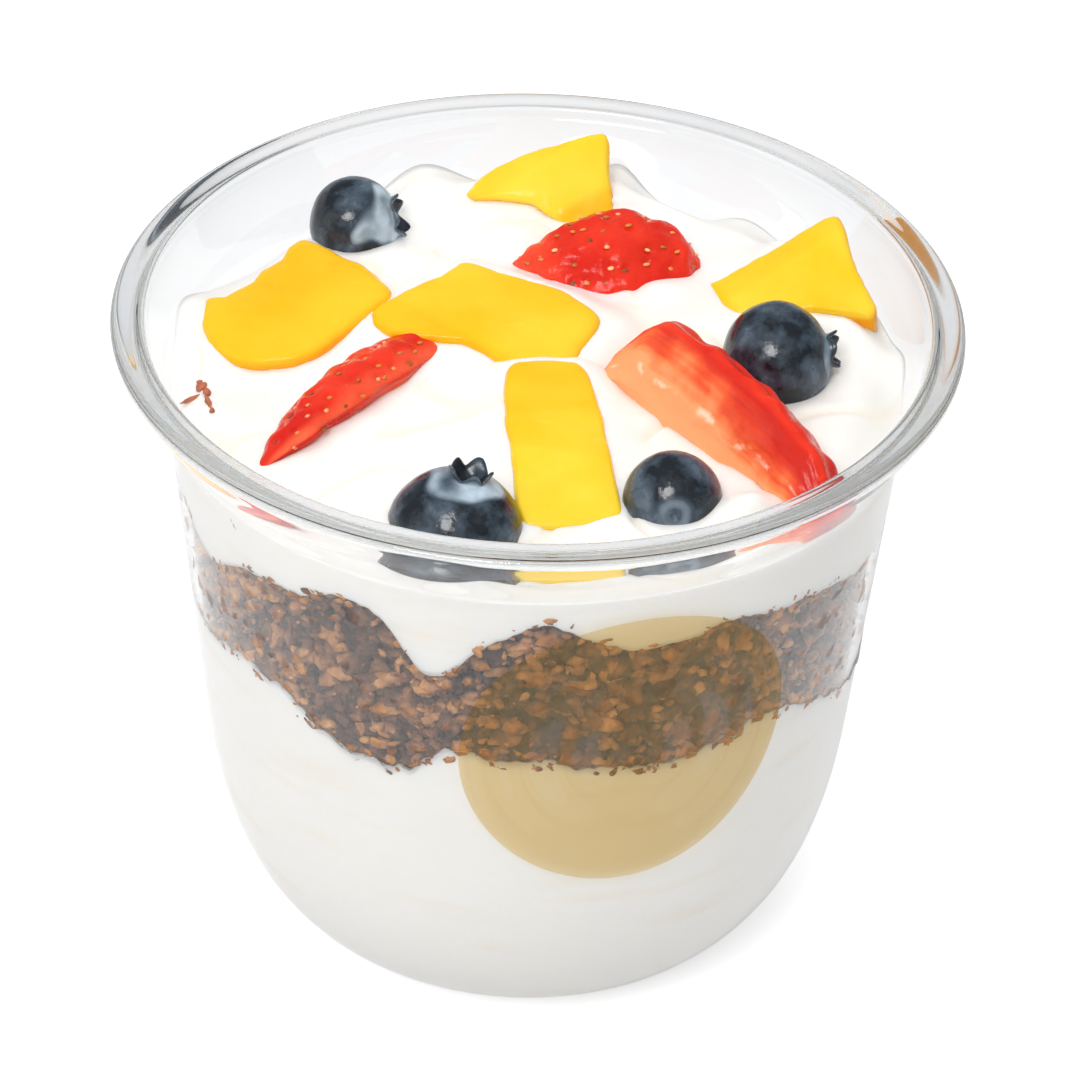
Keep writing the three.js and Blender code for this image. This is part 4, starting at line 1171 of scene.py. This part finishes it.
# ---------------------------------------------------------------------------------------------
# Blueberries
# ---------------------------------------------------------------------------------------------
# crown is the way the crown faces, calyx its radius as a share of the berry's, and bloomed how much bloom
# lies round it.
BLUEBERRIES = {
    "back": dict(
        centre=[-22.4, 28.0, 74.3], radius=5.8, crown=[0.97, 0.0, 0.25], calyx=0.42, bloomed=1.5,
    ),
    "right": dict(
        centre=[27.7, 0.9, 74.9], radius=6.8, crown=[0.97, 0.05, 0.2], calyx=0.29, bloomed=0.6,
    ),
    "front": dict(
        centre=[-8.4, -31.2, 72.4], radius=7.5, crown=[0.2, 0.16, 0.95], calyx=0.31, bloomed=1.3,
    ),
    "front_right": dict(
        centre=[15.6, -25.8, 73.4], radius=5.6, crown=[-0.03, 0.96, -0.27], calyx=0.3, bloomed=0.5,
    ),
}
BERRY_AROUND = 120
# Rows of the berry, as [distance from the axis, height, share of the crown's lift] for a radius of 1. Those
# of the crown are as wide as the calyx, and go up over its lobes and down into its hollow.
SCAR_ROWS = [[0.02, -0.875, 0], [0.05, -0.88, 0], [0.075, -0.915, 0]]
CROWN_ROWS = [
    [1.04, 0.01, 0.0], [0.98, 0.03, 0.2], [0.98, 0.07, 0.6], [1.0, 0.11, 0.9], [0.95, 0.13, 1.0],
    [0.84, 0.11, 0.9], [0.74, 0.05, 0.5], [0.66, 0.0, 0.1], [0.58, -0.045, 0.0], [0.45, -0.075, 0.0],
    [0.3, -0.085, 0.0], [0.12, -0.088, 0.0],
]


def berry_bloom(profile, local, calyx, bloomed, seed):
    """How thick the bloom is at each point: full from the crown's foot to a ragged edge at about 1.8 times
    its radius, thin on the lobes, with a ring of exp(-((distance - 0.24) / 0.12)^2) round the scar."""
    out = profile[:, :1] / calyx
    upper, on_lobe = profile[:, 1:2] > 0, profile[:, 2:] > 0.3
    edge = out + 0.45 * field(local, 0.9, seed + 3)
    round_crown = upper * smoothstep(out, 0.9, 1.05) * (1 - smoothstep(edge, 1.5, 2.1)) * bloomed
    round_scar = (1 - upper) * 0.75 * np.exp(-(((profile[:, :1] - 0.24) / 0.12) ** 2))
    bloom = round_crown * np.where(on_lobe, 0.3, 1.0) + round_scar
    return np.clip(bloom * (0.85 + 0.45 * field(local, 0.8, seed + 2)), 0, 1)


def build_blueberry(key, centre, radius, crown, calyx, bloomed, seed):
    """A slightly flat ball: a profile turned round its axis, from a small sunken scar to a crown whose
    rows rise by five uneven pointed lobes, |cos(5a/2)|^1.5, round a dark hollow."""
    random = np.random.default_rng(seed)
    rise = np.radians(np.linspace(-84, math.degrees(math.acos(1.1 * calyx)), 50))
    ball = np.stack([np.cos(rise), np.where(rise < 0, 0.94, 0.92) * np.sin(rise), 0 * rise], -1)
    top = ball[-1, 1]
    rim = np.array(CROWN_ROWS) * [calyx, 1, 1] + [0, top, 0]
    profile = np.concatenate([SCAR_ROWS, ball, rim])
    turn = np.arange(BERRY_AROUND) / BERRY_AROUND * 2 * math.pi
    lobe = np.abs(np.cos(2.5 * (turn + 0.15 * np.sin(2 * turn + seed)))) ** 1.5
    corners = np.linspace(0, 2 * math.pi, 6)
    tall = np.interp(turn, corners, random.uniform(0.6, 1.3, 6), period=2 * math.pi)
    lift = 0.44 * calyx * lobe * tall - 0.08
    across = profile[:, :1] * (1 + 0.12 * profile[:, 2:] * (lobe * tall)[None, :])
    up = profile[:, 1:2] + profile[:, 2:] * lift[None, :]
    local = np.stack([across * np.cos(turn), across * np.sin(turn), up], -1)
    dent = 0.012 * field(local, 1.2, seed) + 0.003 * field(local, 0.3, seed + 1)
    local = local * (1 + dent)[..., None]
    axes = frames(unit(np.array([crown], float)), np.array([random.uniform(0, 6)]))[0].T
    rings = np.array(centre) + radius * local @ axes
    poles = [np.array(centre) + radius * np.array([0, 0, z]) @ axes for z in (-0.87, top - 0.09)]
    made = closed_rings(rings, *poles)
    values = {"bloom": with_poles(berry_bloom(profile, local, calyx, bloomed, seed), 0.0, 0.0)}
    nodes = [f"blueberry_{key}"]
    make_piece(f"blueberry_{key}_berry", *made, BLUE_SKIN, "blueberry", nodes, values)


# ---------------------------------------------------------------------------------------------
# Everything in place
# ---------------------------------------------------------------------------------------------
CLEAR = clear_plastic()
FILM = gold_film()
YOGURT = yogurt()
GRANOLA = granola_crumb()
STRAY = stray_crumb()
MANGO = mango_flesh()
BERRY_FLESH = strawberry_flesh()
BERRY_SEED = strawberry_seed()
BLUE_SKIN = blueberry_skin()

build_cup()
build_label()
build_lower_yogurt()
build_granola()
build_upper_yogurt()
for name, bits in GRANOLA_BITS.items():
    build_granola_bits(name, **bits)
build_strays()
for order, (key, chunk) in enumerate(MANGO_CHUNKS.items()):
    build_mango(key, **chunk, seed=200 + 10 * order)
for order, (key, wedge) in enumerate(STRAWBERRY_PIECES.items()):
    build_strawberry(key, **wedge, seed=300 + 10 * order)
for order, (key, berry) in enumerate(BLUEBERRIES.items()):
    build_blueberry(key, **berry, seed=400 + 10 * order)


# ---------------------------------------------------------------------------------------------
# Floor, light and camera
# ---------------------------------------------------------------------------------------------
FLOOR_REACH = 4.0  # metres from the floor's middle to each of its edges


def build_floor():
    """A plain pale floor that shines a little: most where it is seen, less through the plastic and in the
    gloss, and hardly where it lights the food."""
    material, tree, surface, _ = new_material("pale floor")
    path = add(tree, "ShaderNodeLightPath")
    unscattered = maths(tree, "SUBTRACT", 1.0, path.outputs["Is Diffuse Ray"])
    faint = weighted(tree, (unscattered, 0.15), start=0.03)
    seen = weighted(tree, (path.outputs["Is Camera Ray"], 0.5))
    set_surface(
        tree, surface, Base_Color=(0.74, 0.74, 0.745), Roughness=0.9, Emission_Color=(1.0, 1.0, 1.0),
        Emission_Strength=maths(tree, "MAXIMUM", seen, faint),
    )
    corners = [(x * FLOOR_REACH, y * FLOOR_REACH, 0) for x, y in ((-1, -1), (1, -1), (1, 1), (-1, 1))]
    mesh = bpy.data.meshes.new("floor")
    mesh.from_pydata(corners, [], [(0, 1, 2, 3)])
    mesh.materials.append(material)
    floor = bpy.data.objects.new("floor", mesh)
    bpy.context.scene.collection.objects.link(floor)


def add_lamp(name, azimuth, elevation, distance, size, power, shows=True):
    """A round lamp beside the cup that looks at its top. Distance and size are in metres. A lamp that
    doesn't show lights the food but isn't seen in the gloss or through the plastic."""
    data = bpy.data.lights.new(name, "AREA")
    data.shape = "DISK"
    data.size, data.energy = size, power
    lamp = bpy.data.objects.new(name, data)
    target = Vector((0, 0, 0.06))
    a, e = math.radians(azimuth), math.radians(elevation)
    away = Vector((math.sin(a) * math.cos(e), -math.cos(a) * math.cos(e), math.sin(e)))
    lamp.location = target + away * distance
    lamp.rotation_euler = away.to_track_quat("Z", "Y").to_euler()
    lamp.visible_glossy = lamp.visible_transmission = shows
    bpy.context.scene.collection.objects.link(lamp)


# The room as colour ramps. The first two go from the dark end of the room to the light one, for what is
# seen in the gloss and through the plastic, and the third from the floor up, for the light on the food.
GLOSS_ROOM = [(0.0, (0.16, 0.17, 0.19)), (0.55, (0.34, 0.35, 0.37)), (1.0, (0.62, 0.62, 0.62))]
CLEAR_ROOM = [
    (0.0, (0.30, 0.32, 0.36)), (0.35, (0.62, 0.64, 0.67)), (0.6, (0.92, 0.92, 0.92)), (1.0, (1.0, 1.0, 1.0)),
]
SOFT_ROOM = [
    (0.0, (0.16, 0.17, 0.19)), (0.45, (0.22, 0.23, 0.25)), (0.62, (0.52, 0.53, 0.54)),
    (1.0, (0.74, 0.74, 0.74)),
]
LIGHT_END = (-0.25, -0.6, 0.76)  # the direction of the room's light end


def build_light():
    """Soft studio light: a pale room with a white backdrop, a broad hidden lamp from behind and above, a key
    lamp by the viewer and a low side lamp."""
    world = bpy.data.worlds.new("studio")
    bpy.context.scene.world = world
    world.use_nodes = True
    tree = world.node_tree
    tree.nodes.clear()
    path = add(tree, "ShaderNodeLightPath")
    direction = add(tree, "ShaderNodeTexCoord").outputs["Generated"]
    facing = add(tree, "ShaderNodeVectorMath", {0: direction, 1: LIGHT_END}, operation="DOT_PRODUCT")
    share = ranged(tree, facing.outputs["Value"], -0.9, 0.9, 0.0, 1.0)
    upward = add(tree, "ShaderNodeSeparateXYZ", {0: direction}).outputs["Z"]
    height = ranged(tree, upward, -1.0, 1.0, 0.0, 1.0)
    gloss, clear = ramp(tree, share, GLOSS_ROOM), ramp(tree, share, CLEAR_ROOM)
    colour = mixed(tree, path.outputs["Is Diffuse Ray"], gloss, ramp(tree, height, SOFT_ROOM))
    colour = mixed(tree, path.outputs["Is Transmission Ray"], colour, clear)
    room = add(tree, "ShaderNodeBackground", {"Color": colour})
    backdrop = add(tree, "ShaderNodeBackground", {"Color": (1.0, 1.0, 1.0, 1.0)})
    shaders = {0: path.outputs["Is Camera Ray"], 1: room.outputs[0], 2: backdrop.outputs[0]}
    shown = add(tree, "ShaderNodeMixShader", shaders)
    add(tree, "ShaderNodeOutputWorld", {"Surface": shown.outputs[0]})
    add_lamp("top_lamp", 180, 62, 1.1, 0.9, 3.8, shows=False)
    add_lamp("key_lamp", -22, 50, 1.2, 0.52, 7.2)
    add_lamp("side_lamp", -70, 22, 1.3, 0.8, 1.0)


def build_camera():
    """The camera, by its distance in millimetres, its elevation and its roll round the view line."""
    distance, elevation, roll = 600.35, math.radians(35.885), math.radians(1.874)
    target = Vector((1.018, 0.0, 48.714))
    back = Vector((0, -math.cos(elevation), math.sin(elevation)))
    level, lift = Vector((1, 0, 0)), Vector((0, math.sin(elevation), math.cos(elevation)))
    right = level * math.cos(roll) + lift * math.sin(roll)
    up = lift * math.cos(roll) - level * math.sin(roll)
    data = bpy.data.cameras.new("camera")
    data.lens, data.sensor_width = 169.06, 36.0
    data.clip_start, data.clip_end = 0.01, 50.0
    camera = bpy.data.objects.new("camera", data)
    turned = Matrix((right, up, back)).transposed().to_4x4()
    turned.translation = (target + back * distance) * MM
    camera.matrix_world = turned
    bpy.context.scene.collection.objects.link(camera)
    bpy.context.scene.camera = camera


build_floor()
build_light()
build_camera()
scene = bpy.context.scene
scene.view_settings.view_transform = "Standard"
scene.cycles.max_bounces = 14
scene.cycles.transmission_bounces = 12
scene.cycles.transparent_max_bounces = 16
scene.cycles.diffuse_bounces = 4
scene.cycles.glossy_bounces = 6
scene.cycles.caustics_reflective = False
